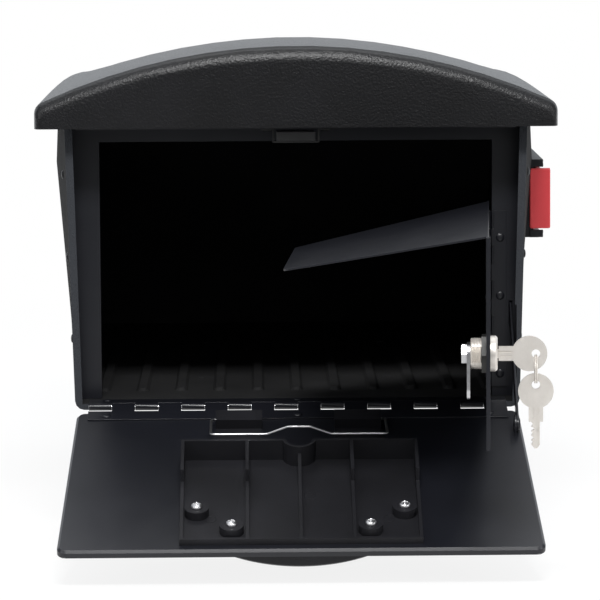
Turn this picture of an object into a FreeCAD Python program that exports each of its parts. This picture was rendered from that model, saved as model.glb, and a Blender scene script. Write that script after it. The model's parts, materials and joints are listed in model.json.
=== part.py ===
import FreeCAD, Part
import os
from math import asin, cos, radians, sin, sqrt, tan

# Post-mount locking mailbox with both doors standing open.
# Millimetres. Origin at the middle of the floor's underside, x to the right seen from the front, y to the
# back, z up.

V = FreeCAD.Vector
X = V(1, 0, 0)
Y = V(0, 1, 0)
Z = V(0, 0, 1)
ORIGIN = V(0, 0, 0)
OVERCUT = 1.0
FLATNESS = 1e-6

# Body: a moulded tub whose sides flare out behind the front rim, widest at the shoulder
BODY_HALF = 165.7
BODY_DEPTH = 468.0
WALL = 2.5
FLOOR = 3.6
RIM_TOP_TUCK = 11.2
RIM_BOTTOM_TUCK = 16.2
FLARE_DEPTH = 110.0
FLARE_TOP_TUCK = 1.5
FLARE_BOTTOM_TUCK = 12.9
REAR_DRAFT = 1.5
SHOULDER_Z = 159.5
EAVE_Z = 190.3
FLANGE_LIFT = 2.0
FLANGE = 3.0
FLANGE_GAP = 0.5
CORNER_R = 6.0
CORNER_STEPS = 3
HEM = 5.0
HEM_DEPTH = 3.0
RIB_PITCH = 26.5
RIB_COUNT = 11
RIB_HALF = 4.5
RIB_TOP_HALF = 2.6
RIB_EASE_SHARE = 0.6
RIB_HEIGHT = 2.2
RIB_START = 64.0
RIB_LENGTH = 231.0
MOUNT_SPACING_X = 5 * RIB_PITCH
MOUNT_SPACING_Y = 200.0
MOUNT_HOLE_R = 3.3

# Roof: a moulded hood, arched high at the front and flatter at the back
ROOF_SIDE_OVERHANG = 8.05
ROOF_WALL = 3.0
ROOF_OVERHANG = 20.0
ROOF_REAR_OVERHANG = 6.0
ROOF_SPANS = 6
ROOF_LEVEL_SHARE = 0.2
ARCH_STEPS = 15
SHOULDER_STEPS = 4
ROOF_CROWN = 54.0
ROOF_ARC_R = 408.0
ROOF_CORNER_R = 8.0
ROOF_REAR_CROWN = 22.0
ROOF_REAR_ARC_R = 1500.0
ROOF_REAR_CORNER_R = 11.0
BROW_R = 12.1
BROW_TURN = 60.0
BROW_STEPS = 3
BROW_SIDE_SHARE = 0.3
BROW_ARC_GROWTH = 2.1
ROOF_BOSS_R = 4.5
ROOF_SCREW_R = 1.5
ROOF_SCREW_LENGTH = 7.0
ROOF_SCREW_HEAD_R = 2.6
ROOF_SCREW_HEAD = 1.8
ROOF_SCREW_Y = (-160.0, 20.0, 200.0)

# Sheet-metal frame behind the front hem
SHEET = 1.2
SEAT_GAP = 0.3
FRAME_RECESS = 29.0
FRAME_RETURN = 15.0
JAMB = 21.8
JAMB_LIP = 7.2
OPENING_TOP = 178.3
HEADER_DROP = 0.8
LEDGE_SETBACK = 2.0
FRAME_RIVET_Z = (44.0, 100.0, 156.0)

# Fasteners, plain and many-sided; rivets share one form in two sizes
FASTENER_SIDES = 8
HEAD_CROWN_SHARE = 0.6
POINT_SHARE = 0.3
RIVET_R = 1.6
RIVET_HEAD_R = 2.9
RIVET_HEAD = 1.1
RIVET_TAIL_R = 2.4
RIVET_TAIL = 0.7
RIVET_TAIL_SINK = 1.0

# Magnet catch under the header
CATCH_INSIDE = 29.0
CATCH_EAR = 7.5
CATCH_DROP = 8.3
CATCH_WIDTH = 10.0
CATCH_SETBACK = 3.0
MAGNET_WIDTH = 26.0
MAGNET_HEIGHT = 6.6
MAGNET_PROUD = 1.8

# Piano hinges
KNUCKLE_SIDES = 8
KNUCKLE_GAP = 0.4
PIN_FIT = 0.05
LEAF = 1.0
DOOR_KNUCKLE_R = 2.3
DOOR_PIN_R = 1.2
DOOR_KNUCKLES = 18
DOOR_KNUCKLE_PITCH = 15.6
DOOR_HINGE_GAP = 0.4
BODY_LEAF_WIDTH = 20.0
DOOR_LEAF_WIDTH = 20.5
LEAF_RIVET_X = (-128.0, 0.0, 128.0)
BODY_LEAF_RIVET = 12.4
DOOR_LEAF_RIVET = 15.4
INNER_KNUCKLE_R = 1.9
INNER_PIN_R = 1.0
INNER_KNUCKLES = 10
INNER_KNUCKLE_PITCH = 12.0
INNER_LEAF_WIDTH = 12.0
INNER_RIVET_OFFSETS = (-51.0, 2.3, 41.8)

# Front door: a shallow pan that drops below level on its stay
DOOR_DROOP = 22.3
DOOR_START = 9.5
DOOR_LENGTH = 182.4
DOOR_SIDE_GAP = 1.8
DOOR_RETURN = 5.0
DOOR_CORNER_R = 6.0
DOOR_BEND = 1.6

# Outgoing-mail tray on the door's inner face
TRAY_HALF = 77.0
TRAY_LENGTH = 102.2
TRAY_END_INSET = 6.2
TRAY_BASE = 2.2
TRAY_WALL = 2.2
TRAY_SHELF = 17.0
TRAY_STEP_FROM_START = 38.0
TRAY_LOW = 8.0
TRAY_LIP = 4.5
TRAY_RIB_X = 34.0
SCOOP_R = 11.0
TRAY_BOSS_R = 7.75
TRAY_BOSS = 8.0
CLIP_BLOCK_X0 = 24.0
CLIP_BLOCK_X1 = 54.8
CLIP_BLOCK_START = 23.0
CLIP_BLOCK_END = 36.0
CLIP_BLOCK = 9.0

# Wire clip that holds outgoing mail against the tray
WIRE_R = 0.9
WIRE_FIT = 0.1
WIRE_SIDES = 8
WIRE_BEND_R = 3.0
WIRE_BEND_STEPS = 3
CLIP_PIVOT_S = 29.0
CLIP_PIVOT_H = 5.2
CLIP_HALF = 57.8
CLIP_TAIL = 14.0
CLIP_REACH = 70.5
CLIP_LIFT = 0.5
CLIP_HUMP_FOOT = 21.0
CLIP_HUMP_HALF = 7.5
CLIP_HUMP = 5.5

# Arched ledge handle on the door's outer face
HANDLE_R = 84.6
HANDLE_INNER_R = 76.0
HANDLE_REACH = 15.7
HANDLE_END_ANGLE = 20.0
HANDLE_EASE = 2.2
HANDLE_GROOVE = 5.0
HANDLE_GROOVE_TOP = 3.0
HANDLE_GROOVE_HEIGHT = 5.5
SCREW_RING_R = 82.0
SCREW_ANGLES = (36.0, 57.5, 122.5, 144.0)
SCREW_R = 1.75
SCREW_FIT = 0.15
SCREW_HEAD_R = 3.6
SCREW_HEAD = 2.6
SCREW_LENGTH = 20.0

# Stay: a flat strip that slides through a slot in the frame
STAY_INSET = 4.9
STAY = 1.4
STAY_HALF = 5.0
STAY_PIVOT_S = 38.0
STAY_PIVOT_H = 5.5
STAY_SLOT_Z = 60.3
STAY_SLOT_HALF = 9.0
STAY_PAST_FRAME = 9.0
STAY_HOOK = 8.0
STAY_SIDE_GAP = 0.4
STAY_RIVET_R = 2.0
STAY_RIVET_HEAD_R = 4.0
STAY_RIVET_HEAD = 0.9
NOTCH_BOTTOM = 17.0
NOTCH_TOP = 69.0

# Inner locking door with a sloping baffle along its top edge
INNER_OPEN = 86.3
INNER_AXIS_INSET = 2.3
INNER_LAP = 4.9
INNER_BOTTOM = 6.8
INNER_TOP = 137.3
INNER_HINGE_EDGE = 3.5
INNER_FOLD = 8.0
BAFFLE_DEPTH = 126.0
BAFFLE_SLOPE = 10.7
BAFFLE_ROOT_INSETS = (6.0, 10.0)
BAFFLE_TIP_INSETS = (85.0, 44.0)

# Cam lock in the inner door
LOCK_FROM_EDGE = 23.0
LOCK_Z = 63.8
LOCK_HEAD_R = 11.0
LOCK_HEAD = 5.6
LOCK_HEAD_EASE = 1.2
LOCK_BARREL_R = 9.5
LOCK_FLAT = 8.0
LOCK_BARREL = 9.7
LOCK_FIT = 0.2
LOCK_NUT_R = 13.0
LOCK_NUT = 3.0
PLUG_R = 6.0
PLUG_FIT = 0.1
PLUG_SINK = 0.4
PLUG_NECK_R = 4.4
CAM = 2.0
CAM_HALF = 7.0
CAM_LENGTH = 28.4
CAM_NUT_R = 6.6
CAM_NUT = 3.4

# Keys on a flat-wire ring
KEY = 2.1
KEY_BOW_R = 10.9
KEY_HOLE_R = 2.6
KEY_HOLE_OFFSET = 3.9
KEY_LENGTH = 46.5
KEY_SHOULDER = 19.0
KEY_SHOULDER_HALF = 4.45
KEY_OUT = 30.5
KEY_BACK_SIDE = 2.5
KEY_TOOTH_SIDE = 2.9
KEY_TIP = 2.4
KEY_TIP_HALF = 0.9
KEY_FIT = 0.12
KEYWAY_PLAY = 0.4
KEY_TOOTH_PITCH = 2.8
KEY_TOOTH_DEPTHS = (1.2, 2.0, 0.9, 1.7, 1.1)
RING_R = 8.2
RING_WIRE = 1.5
RING_WIDTH = 2.0
RING_HANG = 3.2
RING_PLAY = 0.4

# Red flag that swings out of a channel on the right side
BRACKET_START = 110.0
BRACKET_LENGTH = 120.0
BRACKET_BOTTOM = 104.0
BRACKET_TOP = 158.6
BRACKET_REACH = 8.0
BRACKET_WEB = 1.0
BRACKET_FLANGE = 2.2
FLAG_HEIGHT = 42.0
FLAG = 3.0
FLAG_EDGE_R = 0.9
FLAG_BEND_R = 1.5
FLAG_LIP_REACH = 12.9
FLAG_SETBACK = 1.0
FLAG_PIN_FROM_REAR = 10.0
FLAG_PIN_REACH = 4.9
FLAG_PIN_R = 1.5
FLAG_BARREL_R = 3.5
FLAG_FIT = 0.08
FLAG_PIN_HEAD_R = 2.8
FLAG_PIN_HEAD = 1.0
BRACKET_SCREW_Y = (22.0, 78.0)
BRACKET_SCREW_R = 1.6
BRACKET_SCREW_LENGTH = 6.5
BRACKET_SCREW_HEAD_R = 3.2
BRACKET_SCREW_HEAD = 1.4

# Places worked out from the dimensions above
FRONT = -BODY_DEPTH / 2
BACK = BODY_DEPTH / 2
FLARE_Y = FRONT + FLARE_DEPTH
TOP_Z = EAVE_Z + FLANGE_LIFT + FLANGE
RIM_HALF_BOTTOM = BODY_HALF - RIM_BOTTOM_TUCK
RIM_HALF_TOP = BODY_HALF - RIM_TOP_TUCK
FLARE_HALF_BOTTOM = BODY_HALF - FLARE_BOTTOM_TUCK
FLARE_HALF_TOP = BODY_HALF - FLARE_TOP_TUCK
ROOF_HALF = BODY_HALF + ROOF_SIDE_OVERHANG
FLANGE_HALF = ROOF_HALF - ROOF_WALL - FLANGE_GAP
OPENING_HALF = RIM_HALF_TOP - JAMB
FRAME_Y = FRONT + FRAME_RECESS
FRAME_BACK = FRAME_Y + SHEET
HEADER_TOP = EAVE_Z - HEADER_DROP
LEDGE_UNDER = HEADER_TOP - SHEET
HINGE_Y = FRONT - DOOR_KNUCKLE_R - DOOR_HINGE_GAP
HINGE_Z = FLOOR + LEAF - DOOR_KNUCKLE_R
HINGE = V(0, HINGE_Y, HINGE_Z)
PANEL_H = DOOR_KNUCKLE_R - LEAF
PANEL_UNDER_H = PANEL_H - SHEET
DOOR_HALF_START = RIM_HALF_BOTTOM - DOOR_SIDE_GAP
DOOR_HALF_END = RIM_HALF_TOP
TRAY_END = DOOR_LENGTH - TRAY_END_INSET
TRAY_START = TRAY_END - TRAY_LENGTH
TRAY_STEP_AT = TRAY_START + TRAY_STEP_FROM_START
HANDLE_CENTRE_S = DOOR_LENGTH - SHEET - DOOR_BEND - HANDLE_R
STAY_X = RIM_HALF_BOTTOM - STAY_INSET
INNER_AXIS_X = OPENING_HALF - INNER_AXIS_INSET
INNER_FREE_X = -OPENING_HALF - INNER_LAP
INNER_AXIS_Y = FRAME_Y - INNER_KNUCKLE_R
INNER_AXIS_Z = (INNER_BOTTOM + INNER_TOP) / 2 - 2.0
INNER_AXIS = V(INNER_AXIS_X, INNER_AXIS_Y, INNER_AXIS_Z)
INNER_BACK_Y = FRAME_Y - LEAF
INNER_FRONT_Y = INNER_BACK_Y - SHEET
LOCK = V(INNER_FREE_X + LOCK_FROM_EDGE, INNER_FRONT_Y, LOCK_Z)
CAM_Y = INNER_BACK_Y + LOCK_BARREL + SEAT_GAP
BRACKET_HALF = BODY_HALF + BRACKET_REACH
BRACKET_WEB_HALF = BODY_HALF + BRACKET_WEB
BRACKET_Y0 = FRONT + BRACKET_START
BRACKET_Y1 = BRACKET_Y0 + BRACKET_LENGTH
FLAG_PIN_HALF = BODY_HALF + FLAG_PIN_REACH
FLAG_LIP_HALF = BODY_HALF + FLAG_LIP_REACH
FLAG_Z0 = (BRACKET_BOTTOM + BRACKET_TOP - FLAG_HEIGHT) / 2
FLAG_PIN_Y = BRACKET_Y1 - FLAG_PIN_FROM_REAR


# General shapes

def box(x0, x1, y0, y1, z0, z1):
    return Part.makeBox(x1 - x0, y1 - y0, z1 - z0, V(x0, y0, z0))


def rod(base, direction, radius, length):
    return Part.makeCylinder(radius, length, base, direction)


def joined(shapes):
    """One solid from shapes that touch or overlap."""
    return shapes[0].multiFuse(shapes[1:]).removeSplitter()


def corner_join(before, corner, after, radius):
    """Start, middle and end of the arc that rounds a corner."""
    back = (before - corner).normalize()
    ahead = (after - corner).normalize()
    half_angle = back.getAngle(ahead) / 2
    reach = radius / tan(half_angle)
    inward = (back + ahead).normalize()
    middle = corner + inward * (radius / sin(half_angle) - radius)
    return corner + back * reach, middle, corner + ahead * reach


def rounded_wire(points, radii):
    """Closed outline through the points, each corner rounded by its own radius."""
    count = len(points)
    joins = []
    for i, corner in enumerate(points):
        if radii[i] > 0:
            joins.append(corner_join(points[i - 1], corner, points[(i + 1) % count], radii[i]))
        else:
            joins.append((corner, None, corner))
    edges = []
    for i, (start, middle, end) in enumerate(joins):
        if middle is not None:
            edges.append(Part.Arc(start, middle, end).toShape())
        following = joins[(i + 1) % count][0]
        if (following - end).Length > 1e-6:
            edges.append(Part.makeLine(end, following))
    return Part.Wire(edges)


def prism(points, direction, radii=None):
    return Part.Face(rounded_wire(points, radii or [0] * len(points))).extrude(direction)


def lathe(base, axis, outline):
    """Solid of revolution. The outline gives (radius, distance along the axis)."""
    points = [V(r, 0, t) for r, t in outline]
    solid = Part.Face(Part.makePolygon(points + points[:1])).revolve(ORIGIN, Z, 360)
    solid.Placement = FreeCAD.Placement(base, FreeCAD.Rotation(Z, axis))
    return solid


def patch(a, b, c, d):
    """Face with four corners: flat where they lie in one plane, ruled where they don't."""
    normal = (b - a).cross(d - a)
    if abs((c - a).dot(normal)) < FLATNESS * normal.Length:
        return Part.Face(Part.makePolygon([a, b, c, d, a]))
    return Part.makeRuledSurface(Part.makeLine(a, b), Part.makeLine(d, c))


def skinned(rings):
    """Solid whose skin runs through rings of equally many corners, with a flat face at each end."""
    faces = [Part.Face(Part.makePolygon(ends + ends[:1])) for ends in (rings[0], rings[-1])]
    for near, far in zip(rings, rings[1:]):
        for i in range(len(near)):
            faces.append(patch(near[i - 1], near[i], far[i], far[i - 1]))
    shell = Part.makeShell(faces)
    shell.sewShape()
    solid = Part.makeSolid(shell)
    if solid.Volume < 0:
        solid.reverse()
    return solid


def ring(base, direction, radius, along, sides):
    """Corners of a regular polygon round an axis, at a distance along it."""
    turn = FreeCAD.Rotation(Z, direction)
    corners = []
    for i in range(sides):
        angle = radians(360 * (i + 0.5) / sides)
        corners.append(base + turn.multVec(V(radius * cos(angle), radius * sin(angle), along)))
    return corners


def turned(base, direction, outline, sides=FASTENER_SIDES):
    """Many-sided solid round an axis. The outline gives (radius, distance along the axis)."""
    return skinned([ring(base, direction, radius, along, sides) for radius, along in outline])


def peg(base, direction, radius, length):
    """Plain shank of a fastener, or the hole for one."""
    return turned(base, direction, [(radius, 0), (radius, length)])


def head_outline(head_r, head):
    return [(head_r * HEAD_CROWN_SHARE, -head), (head_r, 0)]


def rivet(base, direction, grip, radius=RIVET_R, head_r=RIVET_HEAD_R, head=RIVET_HEAD):
    """Head standing on base, shank running along direction through the grip, flat tail beyond."""
    tail_r = radius * RIVET_TAIL_R / RIVET_R
    shank = [(radius, 0), (radius, grip), (tail_r, grip), (tail_r, grip + RIVET_TAIL)]
    return turned(base, direction, head_outline(head_r, head) + shank)


def pan_screw(base, direction, length, radius, head_r, head):
    """Pan head standing on base, shank running along direction to a blunt point."""
    shank = [(radius, 0), (radius, length - radius), (radius * POINT_SHARE, length)]
    return turned(base, direction, head_outline(head_r, head) + shank)


def bent(points, radius, steps):
    """Path through the points with each inner corner turned in short steps round an arc."""
    path = [points[0]]
    for before, corner, after in zip(points, points[1:], points[2:]):
        path += Part.Arc(*corner_join(before, corner, after, radius)).toShape().discretize(steps + 1)
    return path + [points[-1]]


def wire(path, radius, sides):
    """Many-sided wire along a path of straight stretches, mitred where they meet."""
    ways = [(after - before).normalize() for before, after in zip(path, path[1:])]
    corners = ring(path[0], ways[0], radius, 0, sides)
    rings = [corners]
    for i, place in enumerate(path[1:]):
        mitre = ways[i] + ways[min(i + 1, len(ways) - 1)]
        slope = ways[i].dot(mitre)
        corners = [p + ways[i] * ((place - p).dot(mitre) / slope) for p in corners]
        rings.append(corners)
    return skinned(rings)


# Body

def rim_half(z):
    return RIM_HALF_BOTTOM + (RIM_HALF_TOP - RIM_HALF_BOTTOM) * z / EAVE_Z


def flare_half(z):
    if z <= SHOULDER_Z:
        return FLARE_HALF_BOTTOM + (BODY_HALF - FLARE_HALF_BOTTOM) * z / SHOULDER_Z
    share = (z - SHOULDER_Z) / (TOP_Z - SHOULDER_Z)
    return BODY_HALF + (FLARE_HALF_TOP - BODY_HALF) * share


def body_half(y, z):
    """Half the body's width outside, at a depth and height."""
    if y <= FLARE_Y:
        share = (y - FRONT) / FLARE_DEPTH
        return rim_half(z) + (flare_half(z) - rim_half(z)) * share
    return flare_half(z) - REAR_DRAFT * (y - FLARE_Y) / (BACK - FLARE_Y)


def both_sides(side):
    """The corners on the right and their mirror images, in order round the outline."""
    return side + [V(-p.x, p.y, p.z) for p in reversed(side)]


def body_block(stations, inset, bottom, top):
    """Solid through the body's outlines at a run of depths, drawn in by inset at the sides."""
    heights = (bottom, SHOULDER_Z, top)
    return skinned([both_sides([V(body_half(y, z) - inset, y, z) for z in heights]) for y in stations])


def body_outside():
    """The tub as a full block, its bottom and rear corners turned in short steps."""
    turns = [radians(90 * i / CORNER_STEPS) for i in range(CORNER_STEPS + 1)]
    stations = [(FRONT, 0), (FLARE_Y, 0)]
    stations += [(BACK - CORNER_R * (1 - sin(a)), CORNER_R * (1 - cos(a))) for a in turns]
    rings = []
    for y, inset in stations:
        side = []
        for a in reversed(turns):
            z = CORNER_R * (1 - sin(a))
            side.append(V(body_half(y, z) - inset - CORNER_R * (1 - cos(a)), y, z))
        side += [V(body_half(y, z) - inset, y, z) for z in (SHOULDER_Z, TOP_Z)]
        rings.append(both_sides(side))
    return skinned(rings)


def rib_ring(x, half, y0, y1, z):
    """Corners of a rib's outline, eased at its ends."""
    ease = half * RIB_EASE_SHARE
    end = half - ease
    side = [(end, y0), (half, y0 + ease), (half, y1 - ease), (end, y1)]
    return [V(x + a, y, z) for a, y in side] + [V(x - a, y, z) for a, y in reversed(side)]


def floor_ribs():
    """Raised ribs along the floor, with eased ends and sloping sides."""
    y0 = FRONT + RIB_START
    y1 = y0 + RIB_LENGTH
    draw = RIB_HALF - RIB_TOP_HALF
    ribs = []
    for i in range(RIB_COUNT):
        x = (i - (RIB_COUNT - 1) / 2) * RIB_PITCH
        foot = rib_ring(x, RIB_HALF, y0, y1, FLOOR)
        root = [p - Z * OVERCUT for p in foot]
        crest = rib_ring(x, RIB_TOP_HALF, y0 + draw, y1 - draw, FLOOR + RIB_HEIGHT)
        ribs.append(skinned([root, foot, crest]))
    return ribs


def frame_rivet_places():
    """(side, y, z) of the rivets that hold the frame to the side walls."""
    y = FRAME_BACK + (FRAME_RETURN - SHEET) / 2
    return [(side, y, z) for side in (-1, 1) for z in FRAME_RIVET_Z]


def roof_screw_places():
    x = (FLANGE_HALF + FLARE_HALF_TOP) / 2
    return [V(side * x, y, TOP_Z) for side in (-1, 1) for y in ROOF_SCREW_Y]


def body_leaf_rivet_places():
    return [V(x, HINGE_Y + BODY_LEAF_RIVET, FLOOR + LEAF) for x in LEAF_RIVET_X]


def bracket_screw_places():
    z = (BRACKET_BOTTOM + BRACKET_TOP) / 2
    return [V(BRACKET_WEB_HALF, BRACKET_Y0 + along, z) for along in BRACKET_SCREW_Y]


def body_shell():
    flange = box(-FLANGE_HALF, FLANGE_HALF, FRONT, BACK + FLANGE_GAP, TOP_Z - FLANGE, TOP_Z)
    shell = joined([body_outside(), flange])
    cavity = body_block((FRONT + HEM_DEPTH, FLARE_Y, BACK - WALL), WALL, FLOOR, TOP_Z + OVERCUT)
    mouth = body_block((FRONT - OVERCUT, FRONT + HEM_DEPTH + OVERCUT), HEM, FLOOR, TOP_Z + OVERCUT)
    shell = shell.cut(cavity).cut(mouth)
    shell = joined([shell] + floor_ribs())
    cutters = [
        box(STAY_X - HEM, body_half(FRONT, NOTCH_BOTTOM) - WALL, FRONT - OVERCUT, FRONT + HEM_DEPTH + OVERCUT,
            NOTCH_BOTTOM, NOTCH_TOP)
    ]
    for side_x in (-1, 1):
        for side_y in (-1, 1):
            place = V(side_x * MOUNT_SPACING_X / 2, side_y * MOUNT_SPACING_Y / 2, -OVERCUT)
            cutters.append(rod(place, Z, MOUNT_HOLE_R, FLOOR + 2 * OVERCUT))
    for side, y, z in frame_rivet_places():
        cutters.append(peg(V(side * (body_half(y, z) - 2 * WALL), y, z), X * side, RIVET_R, 4 * WALL))
    for place in roof_screw_places():
        cutters.append(peg(place - Z * (FLANGE + OVERCUT), Z, ROOF_SCREW_R, FLANGE + 2 * OVERCUT))
    for place in body_leaf_rivet_places():
        under = V(place.x, place.y, -OVERCUT)
        cutters.append(peg(under, Z, RIVET_R, FLOOR + 2 * OVERCUT))
        cutters.append(peg(under, Z, RIVET_HEAD_R, RIVET_TAIL_SINK + OVERCUT))
    for place in bracket_screw_places():
        cutters.append(peg(place - X * 4 * WALL, X, BRACKET_SCREW_R, 4 * WALL))
    for cutter in cutters:
        shell = shell.cut(cutter)
    return shell.removeSplitter()


# Roof

def roof_ring(y, half, bottom, crown, arc_r, corner_r):
    """Corners of the arched outline: flat bottom, upright sides, then rounded shoulders and a round top in
    short steps."""
    centre_z = crown - arc_r
    corner_x = half - corner_r
    corner_z = centre_z + sqrt((arc_r - corner_r) ** 2 - corner_x ** 2)
    meet = asin(corner_x / (arc_r - corner_r))
    side = [V(half, y, bottom)]
    for i in range(SHOULDER_STEPS + 1):
        turn = radians(90) + (meet - radians(90)) * i / SHOULDER_STEPS
        side.append(V(corner_x + corner_r * sin(turn), y, corner_z + corner_r * cos(turn)))
    for i in range(1, (ARCH_STEPS + 1) // 2):
        turn = meet * (1 - 2 * i / ARCH_STEPS)
        side.append(V(arc_r * sin(turn), y, centre_z + arc_r * cos(turn)))
    return both_sides(side)


def roof_block(inset, bottom):
    """The hood as a full block, drawn in by inset all round: a rounded brow, then the arch, level at first,
    that sinks to the back."""
    front = FRONT - ROOF_OVERHANG + inset
    rear = BACK + ROOF_REAR_OVERHANG - inset
    half = ROOF_HALF - inset
    crown = EAVE_Z + ROOF_CROWN - inset
    rear_crown = EAVE_Z + ROOF_REAR_CROWN - inset
    arc_r = ROOF_ARC_R - inset
    rings = []
    for i in range(BROW_STEPS + 1):
        turn = radians(BROW_TURN * i / BROW_STEPS)
        drop = BROW_R * (sin(radians(BROW_TURN)) - sin(turn))
        y = front + BROW_R * (1 - cos(turn))
        rings.append(roof_ring(y, half - BROW_SIDE_SHARE * drop, bottom, crown - drop,
                               arc_r + BROW_ARC_GROWTH * drop, ROOF_CORNER_R - inset))
    crease = front + BROW_R * (1 - cos(radians(BROW_TURN)))
    for i in range(1, ROOF_SPANS + 1):
        share = i / ROOF_SPANS
        fall = max(0, (share - ROOF_LEVEL_SHARE) / (1 - ROOF_LEVEL_SHARE)) ** 2
        flatten = 1 / arc_r + (1 / ROOF_REAR_ARC_R - 1 / arc_r) * fall
        corner_r = ROOF_CORNER_R - inset + (ROOF_REAR_CORNER_R - ROOF_CORNER_R) * fall
        rings.append(roof_ring(crease + (rear - crease) * share, half, bottom,
                               crown + (rear_crown - crown) * fall, 1 / flatten, corner_r))
    return skinned(rings)


def roof():
    outside = roof_block(0, EAVE_Z)
    hood = outside.cut(roof_block(ROOF_WALL, EAVE_Z - OVERCUT))
    bosses = []
    holes = []
    for place in roof_screw_places():
        bosses.append(peg(place, Z, ROOF_BOSS_R, ROOF_CROWN).common(outside))
        holes.append(peg(place - Z * OVERCUT, Z, ROOF_SCREW_R, ROOF_SCREW_LENGTH - FLANGE + OVERCUT))
    return joined([hood] + bosses).cut(holes)


def roof_screws():
    under = Z * FLANGE
    return [pan_screw(place - under, Z, ROOF_SCREW_LENGTH, ROOF_SCREW_R, ROOF_SCREW_HEAD_R, ROOF_SCREW_HEAD)
            for place in roof_screw_places()]


# Frame and catch

def front_frame():
    """Folded jambs and header: a front flange, returns along the walls, lips back round the opening's sides,
    and a ledge forward over the mouth."""
    inset = WALL + SEAT_GAP
    stations = (FRAME_Y, FRAME_Y + FRAME_RETURN)
    outside = body_block(stations, inset, FLOOR, HEADER_TOP)
    stations = (FRAME_BACK, FRAME_Y + FRAME_RETURN + OVERCUT)
    inside = body_block(stations, inset + SHEET, 0, LEDGE_UNDER)
    opening = box(-OPENING_HALF, OPENING_HALF, FRAME_Y - OVERCUT, FRAME_BACK + OVERCUT, 0, OPENING_TOP)
    ledge_half = rim_half(HEADER_TOP) - HEM - LEDGE_SETBACK
    ledge = box(-ledge_half, ledge_half, FRONT + LEDGE_SETBACK, FRAME_BACK, LEDGE_UNDER, HEADER_TOP)
    pieces = [outside.cut(inside).cut(opening), ledge]
    for x in (-OPENING_HALF - SHEET, OPENING_HALF):
        pieces.append(box(x, x + SHEET, FRAME_Y, FRAME_BACK + JAMB_LIP, INNER_BOTTOM, OPENING_TOP))
    frame = joined(pieces)
    slot_x0 = STAY_X - STAY_SIDE_GAP
    slot_x1 = STAY_X + STAY + STAY_SIDE_GAP
    slot_z = STAY_SLOT_Z - SHEET / 2
    cutters = [box(slot_x0, slot_x1, FRAME_Y - OVERCUT, FRAME_BACK + OVERCUT,
                   slot_z - STAY_SLOT_HALF, slot_z + STAY_SLOT_HALF)]
    for side, y, z in frame_rivet_places():
        cutters.append(peg(V(side * (body_half(y, z) - 4 * WALL), y, z), X * side, RIVET_R, 4 * WALL))
    for place in catch_rivet_places():
        cutters.append(peg(place, Z, RIVET_R, 2 * SHEET + OVERCUT))
    for place in frame_leaf_rivet_places():
        cutters.append(peg(place, Y, RIVET_R, LEAF + SHEET + OVERCUT))
    for cutter in cutters:
        frame = frame.cut(cutter)
    return frame


def frame_rivets(shell, frame):
    """Rivets through the sloping walls, trimmed to seat on them."""
    rivets = []
    for side, y, z in frame_rivet_places():
        outer = body_half(y, z)
        grip = WALL + SEAT_GAP + SHEET
        whole = rivet(V(side * outer, y, z), X * -side, grip)
        rivets.append(whole.cut([shell, frame]).Solids[0])
    return rivets


def catch_rivet_places():
    x = CATCH_INSIDE / 2 + SHEET + CATCH_EAR / 2
    y = FRONT + CATCH_SETBACK + CATCH_WIDTH / 2
    return [V(side * x, y, LEDGE_UNDER - SHEET) for side in (-1, 1)]


def catch_strap():
    """Strap folded to a cradle, with an ear each side."""
    inner = CATCH_INSIDE / 2
    outer = inner + SHEET
    ear = outer + CATCH_EAR
    top = LEDGE_UNDER
    ear_under = top - SHEET
    bottom = ear_under - CATCH_DROP
    side = [(ear, top), (inner, top), (inner, bottom + SHEET)]
    outline = side + [(-x, z) for x, z in reversed(side)]
    outline += [(-ear, ear_under), (-outer, ear_under), (-outer, bottom)]
    outline += [(outer, bottom), (outer, ear_under), (ear, ear_under)]
    y = FRONT + CATCH_SETBACK
    strap = prism([V(x, y, z) for x, z in outline], Y * CATCH_WIDTH)
    return strap.cut([peg(p - Z * OVERCUT, Z, RIVET_R, SHEET + 2 * OVERCUT) for p in catch_rivet_places()])


def catch_magnet():
    bottom = LEDGE_UNDER - CATCH_DROP
    y = FRONT + CATCH_SETBACK - MAGNET_PROUD
    half = MAGNET_WIDTH / 2
    block = box(-half, half, y, y + CATCH_WIDTH, bottom, bottom + MAGNET_HEIGHT)
    return block.makeChamfer(0.5, [e for e in block.Edges if abs(e.CenterOfMass.y - y) < 1e-6])


# Hinges

def hinge_leaf(count, pitch, knuckle_r, pin_r, cut, width):
    """Leaf with every other knuckle of a piano hinge. Pin along x, leaf toward +y, its upper face level with
    the knuckles' tops."""
    length = count * pitch
    low = knuckle_r - LEAF
    corner_share = 1 / cos(radians(180 / KNUCKLE_SIDES))
    outer = knuckle_r * corner_share
    inner = (pin_r + PIN_FIT) * corner_share
    pieces = [box(-length / 2, length / 2, cut, width, low, knuckle_r)]
    for i in range(0, count, 2):
        x0 = -length / 2 + i * pitch + KNUCKLE_GAP / 2
        x1 = x0 + pitch - KNUCKLE_GAP
        pieces.append(turned(V(x0, 0, 0), X, [(outer, 0), (outer, x1 - x0)], KNUCKLE_SIDES))
        pieces.append(box(x0, x1, 0, cut, low, knuckle_r))
    bore = turned(V(-length, 0, 0), X, [(inner, 0), (inner, 2 * length)], KNUCKLE_SIDES)
    return joined(pieces).cut(bore)


def door_leaf(cut, width):
    return hinge_leaf(DOOR_KNUCKLES, DOOR_KNUCKLE_PITCH, DOOR_KNUCKLE_R, DOOR_PIN_R, cut, width)


def door_hinge_body_leaf():
    leaf = door_leaf(DOOR_KNUCKLE_R + DOOR_HINGE_GAP, BODY_LEAF_WIDTH)
    leaf.translate(HINGE)
    return leaf.cut([peg(p - Z * (LEAF + OVERCUT), Z, RIVET_R, LEAF + 2 * OVERCUT)
                     for p in body_leaf_rivet_places()])


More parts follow.
